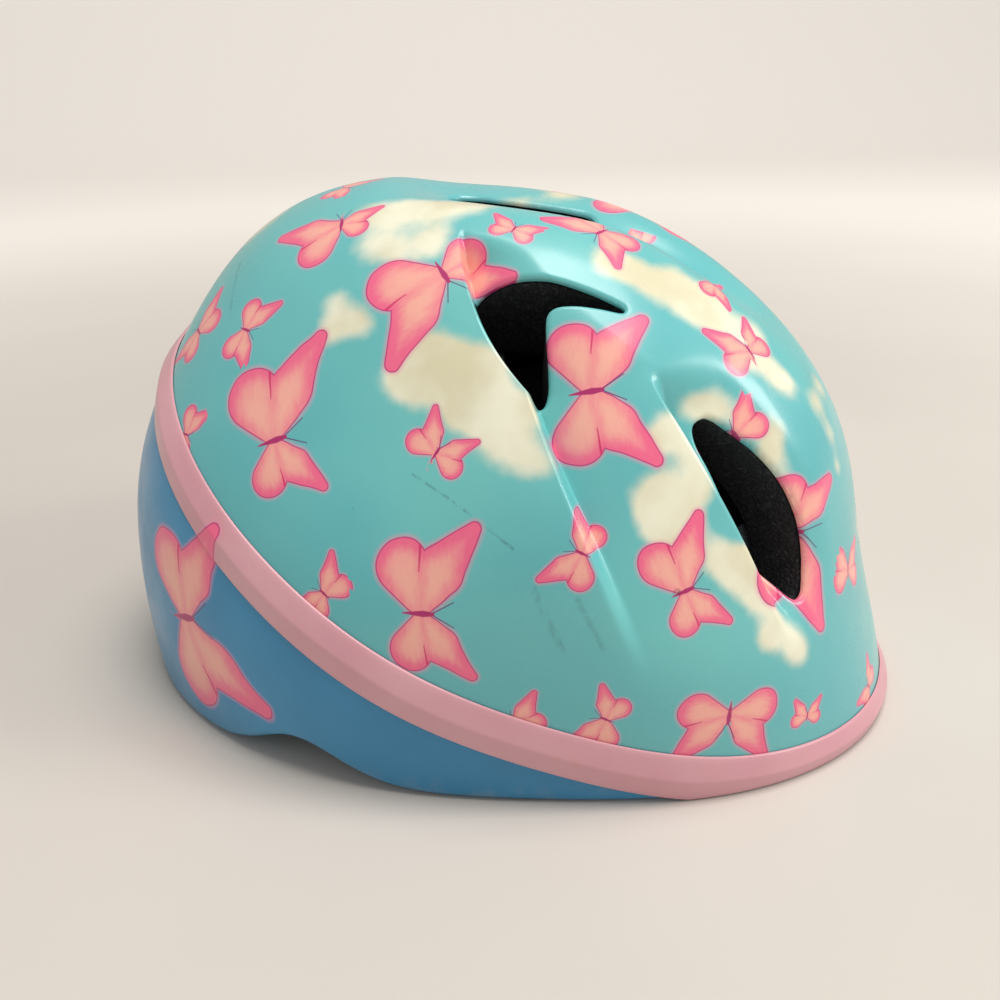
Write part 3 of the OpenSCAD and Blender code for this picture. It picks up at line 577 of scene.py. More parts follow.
def stroke(start, end, first, last):
    made = butterfly.nodes.new("ShaderNodeGroup")
    made.node_tree = lobe
    butterfly.links.new(place, made.inputs["Place"])
    made.inputs["From"].default_value = (*start, 0)
    made.inputs["To"].default_value = (*end, 0)
    made.inputs["First radius"].default_value = first
    made.inputs["Last radius"].default_value = last
    return made.outputs[0]


def drawn(distance, extra=0.0):
    """Mask of a shape grown by a share of the line weight."""
    grown = calc(butterfly, "SUBTRACT", distance, calc(butterfly, "MULTIPLY", weight, extra))
    return between(butterfly, grown, soft, calc(butterfly, "MULTIPLY", soft, -1.0))


shift = calc(butterfly, "MULTIPLY", calc(butterfly, "SUBTRACT", given.outputs["Wobble"], 0.5), 0.05)
place, weight = folded(given.outputs["Place"], shift)
soft = calc(butterfly, "MULTIPLY", weight, 0.006)
fore = calc(butterfly, "SMOOTH_MIN", stroke((0.02, 0.0), (0.36, 0.14), 0.045, 0.20),
            stroke((0.36, 0.14), (0.72, 0.42), 0.20, 0.06), 0.03)
hind = stroke((0.02, -0.05), (0.39, -0.19), 0.045, 0.235)
wing = calc(butterfly, "MINIMUM", fore, hind)
link(butterfly, drawn(wing), result.inputs["Wing"])
link(butterfly, drawn(calc(butterfly, "ABSOLUTE", wing), 0.0065), result.inputs["Line"])
vein = calc(butterfly, "MAXIMUM", stroke((0.60, -0.03), (0.34, -0.035), 0.012, 0.002), wing)
link(butterfly, drawn(vein, 0.003), result.inputs["Vein"])
link(butterfly, between(butterfly, wing, calc(butterfly, "MULTIPLY", weight, 0.06), 0.0),
     result.inputs["Glow"])
inner = between(butterfly, wing, 0.0, -0.17, 0.0, 0.55)
root = between(butterfly, vector(butterfly, "LENGTH", place, out=1), 0.85, 0.10, 0.0, 0.65)
link(butterfly, calc(butterfly, "ADD", inner, root), result.inputs["Warmth"])
place, weight = folded(given.outputs["Middle"], 0.0)
spindle = calc(butterfly, "MINIMUM", stroke((0, -0.20), (0, 0.0), 0.003, 0.028),
               stroke((0, 0.0), (0, 0.09), 0.028, 0.016))
link(butterfly, drawn(spindle, 0.003), result.inputs["Body"])
link(butterfly, drawn(stroke((0.01, 0.09), (0.12, 0.29), 0.003, 0.002), 0.003),
     result.inputs["Feeler"])


def butterflies_over(tree, ground):
    """Lays the printed butterflies over a ground colour."""
    wings_at, middle_at = (tree.nodes.new("ShaderNodeAttribute") for _ in range(2))
    wings_at.attribute_name, middle_at.attribute_name = "print_place", "print_middle"
    on_helmet = tree.nodes.new("ShaderNodeTexCoord").outputs["Object"]
    drawing = use_group(tree, butterfly, Place=wings_at.outputs["Vector"],
                        Middle=middle_at.outputs["Vector"], Wobble=grain(tree, on_helmet, 90, 1))
    streaks = grain(tree, wings_at.outputs["Vector"], 7, 4, 0.6, (1.0, 2.8, 1.0))
    warmth = calc(tree, "ADD", drawing["Warmth"],
                  calc(tree, "MULTIPLY", calc(tree, "SUBTRACT", streaks, 0.5), 0.6))
    wing_colour = blend_colour(tree, between(tree, warmth, 0.15, 1.15),
                               shade(242, 104, 142), shade(247, 178, 160))
    colour = blend_colour(tree, calc(tree, "MULTIPLY", drawing["Glow"], 0.5), ground,
                          shade(236, 140, 172))
    colour = blend_colour(tree, drawing["Wing"], colour, wing_colour)
    colour = blend_colour(tree, calc(tree, "MULTIPLY", drawing["Line"], 0.92), colour,
                          shade(186, 40, 116))
    colour = blend_colour(tree, drawing["Vein"], colour, shade(214, 52, 108))
    colour = blend_colour(tree, drawing["Feeler"], colour, shade(96, 52, 108))
    return blend_colour(tree, drawing["Body"], colour, shade(176, 34, 104))


def new_material(name, roughness, coat=0.0, coat_rough=0.1, sheen=0.0, metallic=0.0):
    made = bpy.data.materials.new(name)
    made.use_nodes = True
    main = made.node_tree.nodes["Principled BSDF"]
    main.inputs["Roughness"].default_value = roughness
    main.inputs["Coat Weight"].default_value = coat
    main.inputs["Coat Roughness"].default_value = coat_rough
    main.inputs["Sheen Weight"].default_value = sheen
    main.inputs["Metallic"].default_value = metallic
    return made, made.node_tree, main


def bump(tree, main, height, strength, distance):
    node = tree.nodes.new("ShaderNodeBump")
    node.inputs["Strength"].default_value = strength
    node.inputs["Distance"].default_value = distance
    tree.links.new(height, node.inputs["Height"])
    tree.links.new(node.outputs[0], main.inputs["Normal"])


def on_shell(place):
    """Point of the shell in metres, from its bearing and elevation."""
    return skin(np.array(float(place[0])), np.array(float(place[1]))) * MM


def wear_marks(tree, where, colour, marks, tone):
    """Rubbed lines and spots, each a stroke between two places on the shell."""
    for start, end, wide, deep in marks:
        made = tree.nodes.new("ShaderNodeGroup")
        made.node_tree = lobe
        tree.links.new(where, made.inputs["Place"])
        made.inputs["From"].default_value = on_shell(start)
        made.inputs["To"].default_value = on_shell(end)
        made.inputs["First radius"].default_value = 0.0
        made.inputs["Last radius"].default_value = 0.0
        mask = between(tree, made.outputs[0], wide, wide * 0.2, 0.0, deep)
        broken = between(tree, grain(tree, where, 500, 3), 0.35, 0.6)
        colour = blend_colour(tree, calc(tree, "MULTIPLY", mask, broken), colour, tone)
    return colour


# ---- Top shell -------------------------------------------------------------------------------------
# A thin thermoformed film shell, printed and glossy, moulded onto the foam. Its vents have rolled
# edges, and its lower edge is hidden behind the band.

TOP_WALL = 1.5
LIP = 1.3
FINE_ZONES = [(21.5, 28.5), (46.5, 52.5)]


def top_shell_mesh():
    bearings = spaced(FINE_ZONES, 1.15, 0.4)
    rows, inner_rows = 130, 26
    start = elevation(bearings, joint_z, 0.4)
    plan = bmesh.new()
    grid = [[plan.verts.new((a, j / rows, 0)) for j in range(rows + 1)] for a in bearings]
    for i in range(len(bearings) - 1):
        for j in range(rows):
            plan.faces.new((grid[i][j], grid[i + 1][j], grid[i + 1][j + 1], grid[i][j + 1]))
    first_row = [i * (rows + 1) for i in range(len(bearings))]

    def placed(depth=0.0):
        co = np.array([v.co[:] for v in plan.verts])
        first = np.interp(co[:, 0], bearings, start)
        return skin(co[:, 0], mix(first, 90, co[:, 1]), depth)

    for band in (4.5, 2.6):
        plan.verts.ensure_lookup_table()
        near = np.abs(vent_distance(placed())) < band
        plan.verts.index_update()
        edges = [e for e in plan.edges if near[e.verts[0].index] and near[e.verts[1].index]
                 and abs(e.verts[0].co.x) < 179]
        bmesh.ops.subdivide_edges(plan, edges=edges, cuts=1, use_grid_fill=True)
    outer = placed()
    d = vent_distance(outer)
    roll = np.where((d > -0.6) & (d < LIP), LIP - np.sqrt(np.maximum(
        LIP ** 2 - (LIP - np.clip(d, 0, LIP)) ** 2, 0)), 0)
    toward = outer - FORM_CENTRE
    outer = outer - toward / np.linalg.norm(toward, axis=1)[:, None] * roll[:, None] * 0.95
    plan.verts.index_update()
    faces = [[v.index for v in f.verts] for f in plan.faces]
    plan.free()
    base = len(outer)
    columns = len(bearings)
    share = np.arange(inner_rows + 1) / inner_rows
    inner = skin(bearings[:, None] + 0 * share, mix(start[:, None], 90, share),
                 TOP_WALL + 0 * share).reshape(-1, 3)
    at = lambda i, j: base + i * (inner_rows + 1) + j
    faces += [[at(i, j), at(i, j + 1), at(i + 1, j + 1), at(i + 1, j)]
              for i in range(columns - 1) for j in range(inner_rows)]
    faces += [[first_row[i + 1], first_row[i], at(i, 0), at(i + 1, 0)] for i in range(columns - 1)]
    return np.vstack([outer, inner]), faces


def close_seams(piece, distance=2e-6):
    made = bmesh.new()
    made.from_mesh(piece.data)
    bmesh.ops.remove_doubles(made, verts=made.verts, dist=distance)
    bmesh.ops.dissolve_degenerate(made, edges=made.edges, dist=1e-7)
    bmesh.ops.recalc_face_normals(made, faces=made.faces)
    made.to_mesh(piece.data)
    made.free()


top_shell = mesh_object("printed_top_shell", *top_shell_mesh())
close_seams(top_shell)
cut_vents(top_shell)
crease_sharp(top_shell, 38)
store_print(top_shell, BUTTERFLIES)
store_clouds(top_shell)

film, tree, main = new_material("printed_film", 0.30, coat=0.35, coat_rough=0.16)
on_helmet = tree.nodes.new("ShaderNodeTexCoord").outputs["Object"]
cloud_at = tree.nodes.new("ShaderNodeAttribute")
cloud_at.attribute_name = "cloud"
puffs = calc(tree, "ADD", calc(tree, "MULTIPLY", calc(
    tree, "SUBTRACT", grain(tree, on_helmet, 75, 3, 0.55), 0.5), 1.5), cloud_at.outputs["Fac"])
cloudiness = between(tree, puffs, 0.45, 1.55)
sky = blend_colour(tree, between(tree, grain(tree, on_helmet, 14, 2), 0.35, 0.7),
                   shade(96, 182, 186), shade(112, 195, 192))
cloud_tone = blend_colour(tree, between(tree, grain(tree, on_helmet, 48, 3), 0.35, 0.65),
                          shade(226, 214, 178), shade(246, 240, 214))
ground = blend_colour(tree, calc(tree, "MULTIPLY", cloudiness, 0.92), sky, cloud_tone)
printed = butterflies_over(tree, ground)
RUBBED = [  # bearing and elevation of both ends, half width in metres, depth
    ((-78, 31), (-70, 27), 0.0005, 0.4), ((-70, 27), (-62, 20), 0.0006, 0.5),
    ((-61, 14), (-60, 4), 0.0013, 0.3), ((-55, 12), (-54, 4), 0.0011, 0.25),
    ((-91, 24), (-90.9, 24), 0.0006, 0.6), ((-88, 21), (-87.9, 21), 0.0007, 0.6),
    ((-142, 43), (-155, 48), 0.0009, 0.35)]
SPOT = [((-40, 11), (-39.9, 11), 0.0012, 1.0)]
printed = wear_marks(tree, on_helmet, printed, RUBBED, shade(62, 104, 108))
printed = wear_marks(tree, on_helmet, printed, SPOT, shade(24, 34, 38))
tree.links.new(printed, main.inputs["Base Color"])
link(tree, between(tree, grain(tree, on_helmet, 60, 4), 0.3, 0.75, 0.24, 0.38),
     main.inputs["Roughness"])
bump(tree, main, grain(tree, on_helmet, 130, 2), 0.10, 0.0006)
top_shell.data.materials.clear()
top_shell.data.materials.append(film)
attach(top_shell, "root")
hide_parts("top_shell")

# ---- Lower shell -----------------------------------------------------------------------------------
# A plain blue shell that carries on the form below the band, turns under the foam's edge and rises
# over each ear. It is moulded with the foam.

LOWER_WALL, CORNER, LIP_REACH = 1.5, 3.0, 9.0


def under(p, inward, z):
    h = np.hypot(p[..., 0], p[..., 1])
    share = 1 - inward / h
    return np.stack([p[..., 0] * share, p[..., 1] * share, z + 0 * h], -1)


def ring_object(name, loops):
    """Closed ring of closed sections; loops holds one row of points for each line round it."""
    points = np.stack(loops, 1)
    n, m = points.shape[:2]
    faces = [[i * m + j, i * m + (j + 1) % m, (i + 1) % n * m + (j + 1) % m, (i + 1) % n * m + j]
             for i in range(n) for j in range(m)]
    made = mesh_object(name, points.reshape(-1, 3), faces)
    close_seams(made, 1e-7)
    return made


around = spaced(FINE_ZONES, 0.9, 0.6)[:-1]
high = elevation(around, joint_z)
low = elevation(around, lambda y: rim_z(y) + CORNER)
foot = skin(around, low)
rim = rim_z(foot[:, 1])
wall_rows = 34
lines = [skin(around, mix(high, low, j / wall_rows)) for j in range(wall_rows + 1)]
for turn in np.radians([22.5, 45, 67.5, 90]):
    lines.append(under(foot, CORNER * (1 - math.cos(turn)), rim + CORNER * (1 - math.sin(turn))))
lines += [under(foot, LIP_REACH - 0.5, rim), under(foot, LIP_REACH, rim + 0.5),
          under(foot, LIP_REACH, rim + LOWER_WALL - 0.4),
          under(foot, LIP_REACH - 0.4, rim + LOWER_WALL),
          under(foot, CORNER, rim + LOWER_WALL)]
lines += [skin(around, mix(high, low, j / 10), LOWER_WALL) for j in range(10, -1, -1)]
lower_shell = ring_object("blue_lower_shell", lines)
crease_sharp(lower_shell, 40)
store_print(lower_shell, OVER_BAND)

blue, tree, main = new_material("blue_film", 0.34, coat=0.3, coat_rough=0.2)
on_helmet = tree.nodes.new("ShaderNodeTexCoord").outputs["Object"]
tone = blend_colour(tree, between(tree, grain(tree, on_helmet, 18, 3), 0.3, 0.7),
                    shade(30, 124, 170), shade(40, 140, 186))
tone = butterflies_over(tree, tone)
height = tree.nodes.new("ShaderNodeSeparateXYZ")
tree.links.new(on_helmet, height.inputs[0])
dusty = calc(tree, "MULTIPLY", between(tree, height.outputs[2], 0.010, 0.0),
             between(tree, grain(tree, on_helmet, 160, 4), 0.45, 0.7, 0.0, 0.25))
tone = blend_colour(tree, dusty, tone, shade(150, 160, 160))
tree.links.new(tone, main.inputs["Base Color"])
link(tree, between(tree, grain(tree, on_helmet, 80, 4), 0.3, 0.75, 0.28, 0.42),
     main.inputs["Roughness"])
bump(tree, main, grain(tree, on_helmet, 130, 2), 0.10, 0.0006)
lower_shell.data.materials.append(blue)
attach(lower_shell, "root")
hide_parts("lower_shell")

# ---- Edge band -------------------------------------------------------------------------------------
# A pink strip with two flat facets, welded over the joint of the two shells. Its crease is slightly
# rounded and rubs pale first.

BAND_PROUD, BAND_EDGE, BAND_BACK, BAND_ROUND = 2.2, 0.8, 0.2, 0.35
upper = elevation(around, edge_z)
lower = elevation(around, lambda y: np.maximum(edge_z(y) - 14, rim_z(y) + 0.6))
crease = (upper + lower) / 2


def band_line(share, proud):
    """Line at a share of the way from the upper edge to the lower one, this far proud."""
    return skin(around, mix(upper, lower, share), -proud)


def facet(share):
    return mix(BAND_EDGE, BAND_PROUD, 1 - abs(share - 0.5) * 2)


lines = [band_line(0, BAND_BACK), band_line(0, BAND_EDGE - BAND_ROUND),
         band_line(0.008, BAND_EDGE - 0.1), band_line(0.028, facet(0.028) - 0.02)]
lines += [band_line(s, facet(s)) for s in (0.12, 0.22, 0.32, 0.42, 0.465)]
lines += [band_line(0.485, facet(0.485) - 0.02), band_line(0.5, BAND_PROUD - 0.07),
          band_line(0.515, facet(0.515) - 0.02)]
lines += [band_line(s, facet(s)) for s in (0.535, 0.58, 0.68, 0.78, 0.88)]
lines += [band_line(0.972, facet(0.972) - 0.02), band_line(0.992, BAND_EDGE - 0.1),
          band_line(1, BAND_EDGE - BAND_ROUND), band_line(1, BAND_BACK)]
lines += [band_line(s, BAND_BACK) for s in (0.8, 0.6, 0.4, 0.2)]
edge_band = ring_object("pink_edge_band", lines)
crease_sharp(edge_band, 60)
store_print(edge_band, OVER_BAND)

pink, tree, main = new_material("pink_strip", 0.36, coat=0.2, coat_rough=0.22)
on_helmet = tree.nodes.new("ShaderNodeTexCoord").outputs["Object"]
tone = blend_colour(tree, between(tree, grain(tree, on_helmet, 24, 3), 0.3, 0.7),
                    shade(210, 150, 160), shade(219, 164, 172))
worn = between(tree, grain(tree, on_helmet, 210, 5, 0.6), 0.60, 0.72, 0.0, 0.35)
tone = blend_colour(tree, worn, tone, shade(214, 150, 140))
tone = butterflies_over(tree, tone)
tree.links.new(tone, main.inputs["Base Color"])
link(tree, between(tree, grain(tree, on_helmet, 90, 4), 0.3, 0.75, 0.30, 0.44),
     main.inputs["Roughness"])
bump(tree, main, grain(tree, on_helmet, 180, 3), 0.10, 0.0005)
edge_band.data.materials.append(pink)
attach(edge_band, "root")
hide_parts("edge_band")

# ---- Foam liner ------------------------------------------------------------------------------------
# Black expanded polystyrene between the shells and the head. Moulding presses its beads flat at the
# skin, and they show as low cells. The vents run through it as tunnels.

CAVITY = np.array([70.0, 87.0, 67.0])
FOAM_COVER = TOP_WALL + 0.95


def cavity(a, e, depth=0.0):
    d = aim(a, e)
    size = CAVITY - np.asarray(depth)[..., None]
    ratio = np.abs(d / size)
    plan = ratio[..., 0] ** 2.2 + ratio[..., 1] ** 2.2
    r = (plan ** (1.9 / 2.2) + ratio[..., 2] ** 1.9) ** (-1 / 1.9)
    return np.array([0, 0, 40.0]) + d * r[..., None]


def cavity_wall(a, z, depth=0.0):
    p = cavity(np.asarray(a, float), 0.0 * np.asarray(a, float), depth)
    return np.stack([p[..., 0], p[..., 1], z + 0 * p[..., 0]], -1)


def foam_mesh():
    a = np.linspace(-180, 180, 181)
    start = elevation(a, lambda y: rim_z(y) + CORNER + 1)
    corner = skin(a, elevation(a, lambda y: rim_z(y) + CORNER))
    base = rim_z(corner[:, 1]) + LOWER_WALL + 0.3
    outer = [under(corner, CORNER + FOAM_COVER, base)]
    outer += [skin(a, mix(start, 90, j / 40), FOAM_COVER + 0 * a) for j in range(41)]
    ring = 3.0
    inner = [cavity_wall(a, base, -ring * (1 - math.sin(t)) + 0 * a)
             + np.array([0, 0, 1.0]) * ring * (1 - math.cos(t)) for t in np.radians([0, 30, 60, 90])]
    inner += [cavity_wall(a, mix(base + ring, 40.0, t)) for t in (0.25, 0.5, 0.75)]
    inner += [cavity(a, 90 * j / 44 + 0 * a) for j in range(45)]
    loops = outer[::-1] + inner
    points = np.stack(loops, 1)
    n, m = points.shape[:2]
    faces = [[i * m + j, i * m + j + 1, (i + 1) * m + j + 1, (i + 1) * m + j]
             for i in range(n - 1) for j in range(m - 1)]
    return points.reshape(-1, 3), faces


foam = mesh_object("foam_liner_body", *foam_mesh())
close_seams(foam, 5e-6)
cut_vents(foam)
crease_sharp(foam, 35)
eps, tree, main = new_material("black_eps", 0.62)
on_helmet = tree.nodes.new("ShaderNodeTexCoord").outputs["Object"]
beads = tree.nodes.new("ShaderNodeTexVoronoi")
beads.inputs["Scale"].default_value = 720
tree.links.new(on_helmet, beads.inputs["Vector"])
edges = tree.nodes.new("ShaderNodeTexVoronoi")
edges.feature = "DISTANCE_TO_EDGE"
edges.inputs["Scale"].default_value = 720
tree.links.new(on_helmet, edges.inputs["Vector"])
tone = blend_colour(tree, beads.outputs["Color"], shade(22, 23, 25), shade(44, 45, 47))
tone = blend_colour(tree, between(tree, edges.outputs[0], 0.10, 0.0, 0.0, 0.8), tone,
                    shade(10, 10, 11))
tone = blend_colour(tree, between(tree, grain(tree, on_helmet, 900, 3), 0.56, 0.72, 0.0, 0.55),
                    tone, shade(84, 84, 84))
tree.links.new(tone, main.inputs["Base Color"])
bump(tree, main, between(tree, edges.outputs[0], 0.0, 0.28), 0.45, 0.0003)
foam.data.materials.clear()
foam.data.materials.append(eps)
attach(foam, "root")
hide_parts("foam_liner")

# ---- Comfort pads ----------------------------------------------------------------------------------
# Soft foam faced with a brushed knit and heat-pressed at the edge. Each sits on hook dots against
# the foam, crowned in the middle and pressed thin round its seam.

PAD_BACK, PAD_T = 1.6, 6.0


def cushion_object(name, front, back):
    """Closed cushion between two equal grids of points."""
    nu, nv = front.shape[:2]
    at = lambda side, i, j: side * nu * nv + i * nv + j
    faces = []
    for i in range(nu - 1):
        for j in range(nv - 1):
            faces.append([at(0, i, j), at(0, i + 1, j), at(0, i + 1, j + 1), at(0, i, j + 1)])
            faces.append([at(1, i, j), at(1, i, j + 1), at(1, i + 1, j + 1), at(1, i + 1, j)])
        for j in (0, nv - 1):
            faces.append([at(0, i, j), at(1, i, j), at(1, i + 1, j), at(0, i + 1, j)])
    for j in range(nv - 1):
        for i in (0, nu - 1):
            faces.append([at(0, i, j), at(0, i, j + 1), at(1, i, j + 1), at(1, i, j)])
    points = np.vstack([front.reshape(-1, 3), back.reshape(-1, 3)])
    made = mesh_object(name, points, faces)
    close_seams(made, 1e-7)
    return made


def pad_object(name, a0, a1, e0, e1, channels=0):
    nu, nv = 56, 28
    u, v = np.meshgrid(np.linspace(-1, 1, nu), np.linspace(-1, 1, nv), indexing="ij")
    # Round the corners of the square grid, then let the sides pull in between them
    bend = 0.22
    ru, rv = u * np.sqrt(1 - bend * v * v), v * np.sqrt(1 - bend * u * u)
    ru, rv = ru * (1 - 0.04 * (1 - v * v)), rv * (1 - 0.07 * (1 - u ** 2))
    a, e = mix(a0, a1, (ru + 1) / 2), mix(e0, e1, (rv + 1) / 2)
    edge = np.maximum(np.abs(u), np.abs(v))
    crown = (1 - edge ** 5) ** 0.55
    crown = np.where(edge > 0.93, 0.12 + 0.3 * (1 - edge), crown)
    for k in range(channels):
        line = -1 + 2 * (k + 1) / (channels + 1)
        crown = crown * (1 - 0.45 * np.exp(-((u - line) / 0.02) ** 2))
    front = cavity(a, e, PAD_BACK + 0.3 + (PAD_T - 0.6) * crown)
    back = cavity(a, e, PAD_BACK + 0.2 + 0 * crown)
    return cushion_object(name, front, back)


knit, tree, main = new_material("brushed_knit", 0.85, sheen=0.35)
main.inputs["Sheen Roughness"].default_value = 0.5
on_helmet = tree.nodes.new("ShaderNodeTexCoord").outputs["Object"]
loops_of_yarn = tree.nodes.new("ShaderNodeTexVoronoi")
loops_of_yarn.inputs["Scale"].default_value = 900
tree.links.new(on_helmet, loops_of_yarn.inputs["Vector"])
tone = blend_colour(tree, between(tree, grain(tree, on_helmet, 40, 4), 0.3, 0.7),
                    shade(74, 84, 96), shade(92, 102, 114))
tone = blend_colour(tree, between(tree, loops_of_yarn.outputs[0], 0.1, 0.6, 0.0, 0.5), tone,
                    shade(48, 54, 64))
tree.links.new(tone, main.inputs["Base Color"])
bump(tree, main, loops_of_yarn.outputs[0], 0.5, 0.0005)

PADS = {"brow_pad": (-42, 42, -14, 14, 3), "crown_pad_left": (65, 125, 56, 76, 0),
        "crown_pad_right": (-125, -65, 56, 76, 0), "temple_pad_left": (76, 108, 8, 32, 0),
        "temple_pad_right": (-108, -76, 8, 32, 0), "rear_pad_left": (140, 172, 14, 34, 0),
        "rear_pad_right": (-172, -140, 14, 34, 0)}
for node, (a0, a1, e0, e1, channels) in PADS.items():
    made = pad_object(node + "_cover", a0, a1, e0, e1, channels)
    made.data.materials.append(knit)
    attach(made, "root")
    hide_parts(node)

# ---- Nape pad --------------------------------------------------------------------------------------
# A small cushion on the front of the dial housing, in the same knit.

low_corner, high_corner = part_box("nape_pad")
u, v = np.meshgrid(np.linspace(-1, 1, 40), np.linspace(-1, 1, 24), indexing="ij")
middle = (np.array(low_corner) + np.array(high_corner)) / 2 / MM
half = (np.array(high_corner) - np.array(low_corner)) / 2 / MM
edge = np.maximum(np.abs(u), np.abs(v))
crown = np.where(edge > 0.9, 0.15, (1 - edge ** 5) ** 0.5)
x = middle[0] + half[0] * u * np.sqrt(1 - 0.14 * v * v)
z = middle[2] + half[2] * v * np.sqrt(1 - 0.14 * u * u)
front = np.stack([x, middle[1] + half[1] - 0.2 - (2 * half[1] - 0.3) * crown, z], -1)
back = np.stack([x, middle[1] + half[1] - 0.05 + 0 * x, z], -1)
nape_pad = cushion_object("nape_pad_cover", front, back)
nape_pad.data.materials.append(knit)
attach(nape_pad, "root")
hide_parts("nape_pad")

# ---- Webbing ---------------------------------------------------------------------------------------
# Flat woven polyester tape with a thicker selvedge. Each run is sewn into its anchor or slider and
# lies stowed across the cavity.

WEB_W, WEB_T, WEB_Z = 15.0, 1.2, 2.9
SLIDER_X, SLIDER_L, SLIDER_W, SLOT_D, BUCKLE_Y = 46.0, 30.0, 24.0, 4.0, 8.0
BUCKLE_Z, TONGUE_OUT, SOCKET_OUT = 5.1, -16.0, 22.0
ANCHOR_INSET, ANCHOR_Z = 0.85, 17.0


def smooth_path(rows, steps=9):
    """Catmull-Rom curve through rows of point and cross direction."""
    p = np.array([np.concatenate([a, np.array(b, float) / np.linalg.norm(b)]) for a, b in rows])
    p = np.vstack([2 * p[0] - p[1], p, 2 * p[-1] - p[-2]])
    out = []
    for k in range(1, len(p) - 2):
        for t in np.arange(steps) / steps:
            out.append(0.5 * (2 * p[k] + (p[k + 1] - p[k - 1]) * t
                              + (2 * p[k - 1] - 5 * p[k] + 4 * p[k + 1] - p[k + 2]) * t ** 2
                              + (3 * p[k] - p[k - 1] - 3 * p[k + 1] + p[k + 2]) * t ** 3))
    out.append(p[-2])
    return np.array(out)


def tape_object(name, rows, width, thick, selvedge=0.12):
    path = smooth_path(rows)
    centre, across = path[:, :3], path[:, 3:]
    ahead = np.gradient(centre, axis=0)
    ahead /= np.linalg.norm(ahead, axis=1)[:, None]
    across = across - ahead * (across * ahead).sum(1)[:, None]
    across /= np.linalg.norm(across, axis=1)[:, None]
    up = np.cross(ahead, across)
    w, t = width / 2, thick / 2
    flat = t * (1 - selvedge)
    below = [(-w + 0.05, -t * 0.6), (-w + 0.5, -t), (-w + 1.5, -flat), (0, -flat),
             (w - 1.5, -flat), (w - 0.5, -t), (w - 0.05, -t * 0.6)]
    section = below + [(x, -h) for x, h in below[::-1]]
    n, m = len(centre), len(section)
    points = np.stack([centre + across * s + up * h for s, h in section], 1)
    faces = [[i * m + j, i * m + (j + 1) % m, (i + 1) * m + (j + 1) % m, (i + 1) * m + j]
             for i in range(n - 1) for j in range(m)]
    faces += [list(range(m))[::-1], [(n - 1) * m + j for j in range(m)]]
    made = mesh_object(name, points.reshape(-1, 3), faces)
    along = np.concatenate([[0], np.cumsum(np.linalg.norm(np.diff(centre, axis=0), axis=1))])
    place = np.array([(section[k % m][0], along[k // m], section[k % m][1])
                      for k in range(n * m)], np.float32)
    layer = made.data.attributes.new("tape_place", "FLOAT_VECTOR", "POINT")
    layer.data.foreach_set("vector", place.ravel())
    close_seams(made, 1e-8)
    crease_sharp(made, 50)
    return made


webbing, tree, main = new_material("woven_webbing", 0.75, sheen=0.25)
place_at = tree.nodes.new("ShaderNodeAttribute")
place_at.attribute_name = "tape_place"
cut = tree.nodes.new("ShaderNodeSeparateXYZ")
tree.links.new(place_at.outputs["Vector"], cut.inputs[0])
slant = calc(tree, "MULTIPLY", calc(tree, "PINGPONG", cut.outputs[0], 2.5), 0.9)
twill = calc(tree, "SINE", calc(tree, "MULTIPLY", calc(
    tree, "ADD", cut.outputs[1], slant), 5.2))
ribs = calc(tree, "SINE", calc(tree, "MULTIPLY", cut.outputs[0], 8.4))
weave = calc(tree, "MULTIPLY", calc(tree, "ADD", twill, ribs), 0.5)
tone = blend_colour(tree, between(tree, weave, -0.8, 0.8), shade(18, 18, 20), shade(50, 50, 54))
tree.links.new(tone, main.inputs["Base Color"])
bump(tree, main, weave, 0.5, 0.00025)


def strap_path(bearing, s, side):
    """Run from an anchor down the wall, over the lip and level into its slider."""
    t = cavity_wall(bearing + 1, 0.0) - cavity_wall(bearing - 1, 0.0)
    t = t / np.linalg.norm(t)
    inward = np.array([-t[1], t[0], 0.0])
    level = t * -s
    straight = np.array([1.0, 0, 0])
    p = cavity_wall(float(bearing), 0.0) + inward * (ANCHOR_INSET + WEB_T / 2 + 0.4)
    base = np.array([p[0], p[1], 0.0])
    up = np.array([0, 0, 1.0])
    mouth = np.array([SLIDER_X, BUCKLE_Y + s * (SLIDER_L / 2 - SLOT_D + 0.6), WEB_Z])
    turn = base + up * WEB_Z + inward * 6.4
    near = mouth + np.array([0, s * 7.0, 0])
    rows = [(base + up * (ANCHOR_Z - 2.2), level), (base + up * 9, level),
            (base + up * 7 + inward * 0.8, level),
            (base + up * 4.6 + inward * 2.8, mix(level, straight, 0.1)),
            (turn, mix(level, straight, 0.35)), ((turn + near) / 2, mix(level, straight, 0.7)),
            (near, straight), (mouth, straight)]
    flip = np.array([side, 1, 1])
    return [(a * flip, b * flip) for a, b in rows]


def chin_path(start, end, rise):
    y = BUCKLE_Y
    return [((start, y, WEB_Z), (0, 1, 0)), ((mix(start, end, 0.3), y, WEB_Z), (0, 1, 0)),
            ((mix(start, end, 0.7), y, mix(WEB_Z, BUCKLE_Z, 0.9) + rise), (0, 1, 0)),
            ((end, y, BUCKLE_Z + rise), (0, 1, 0))]


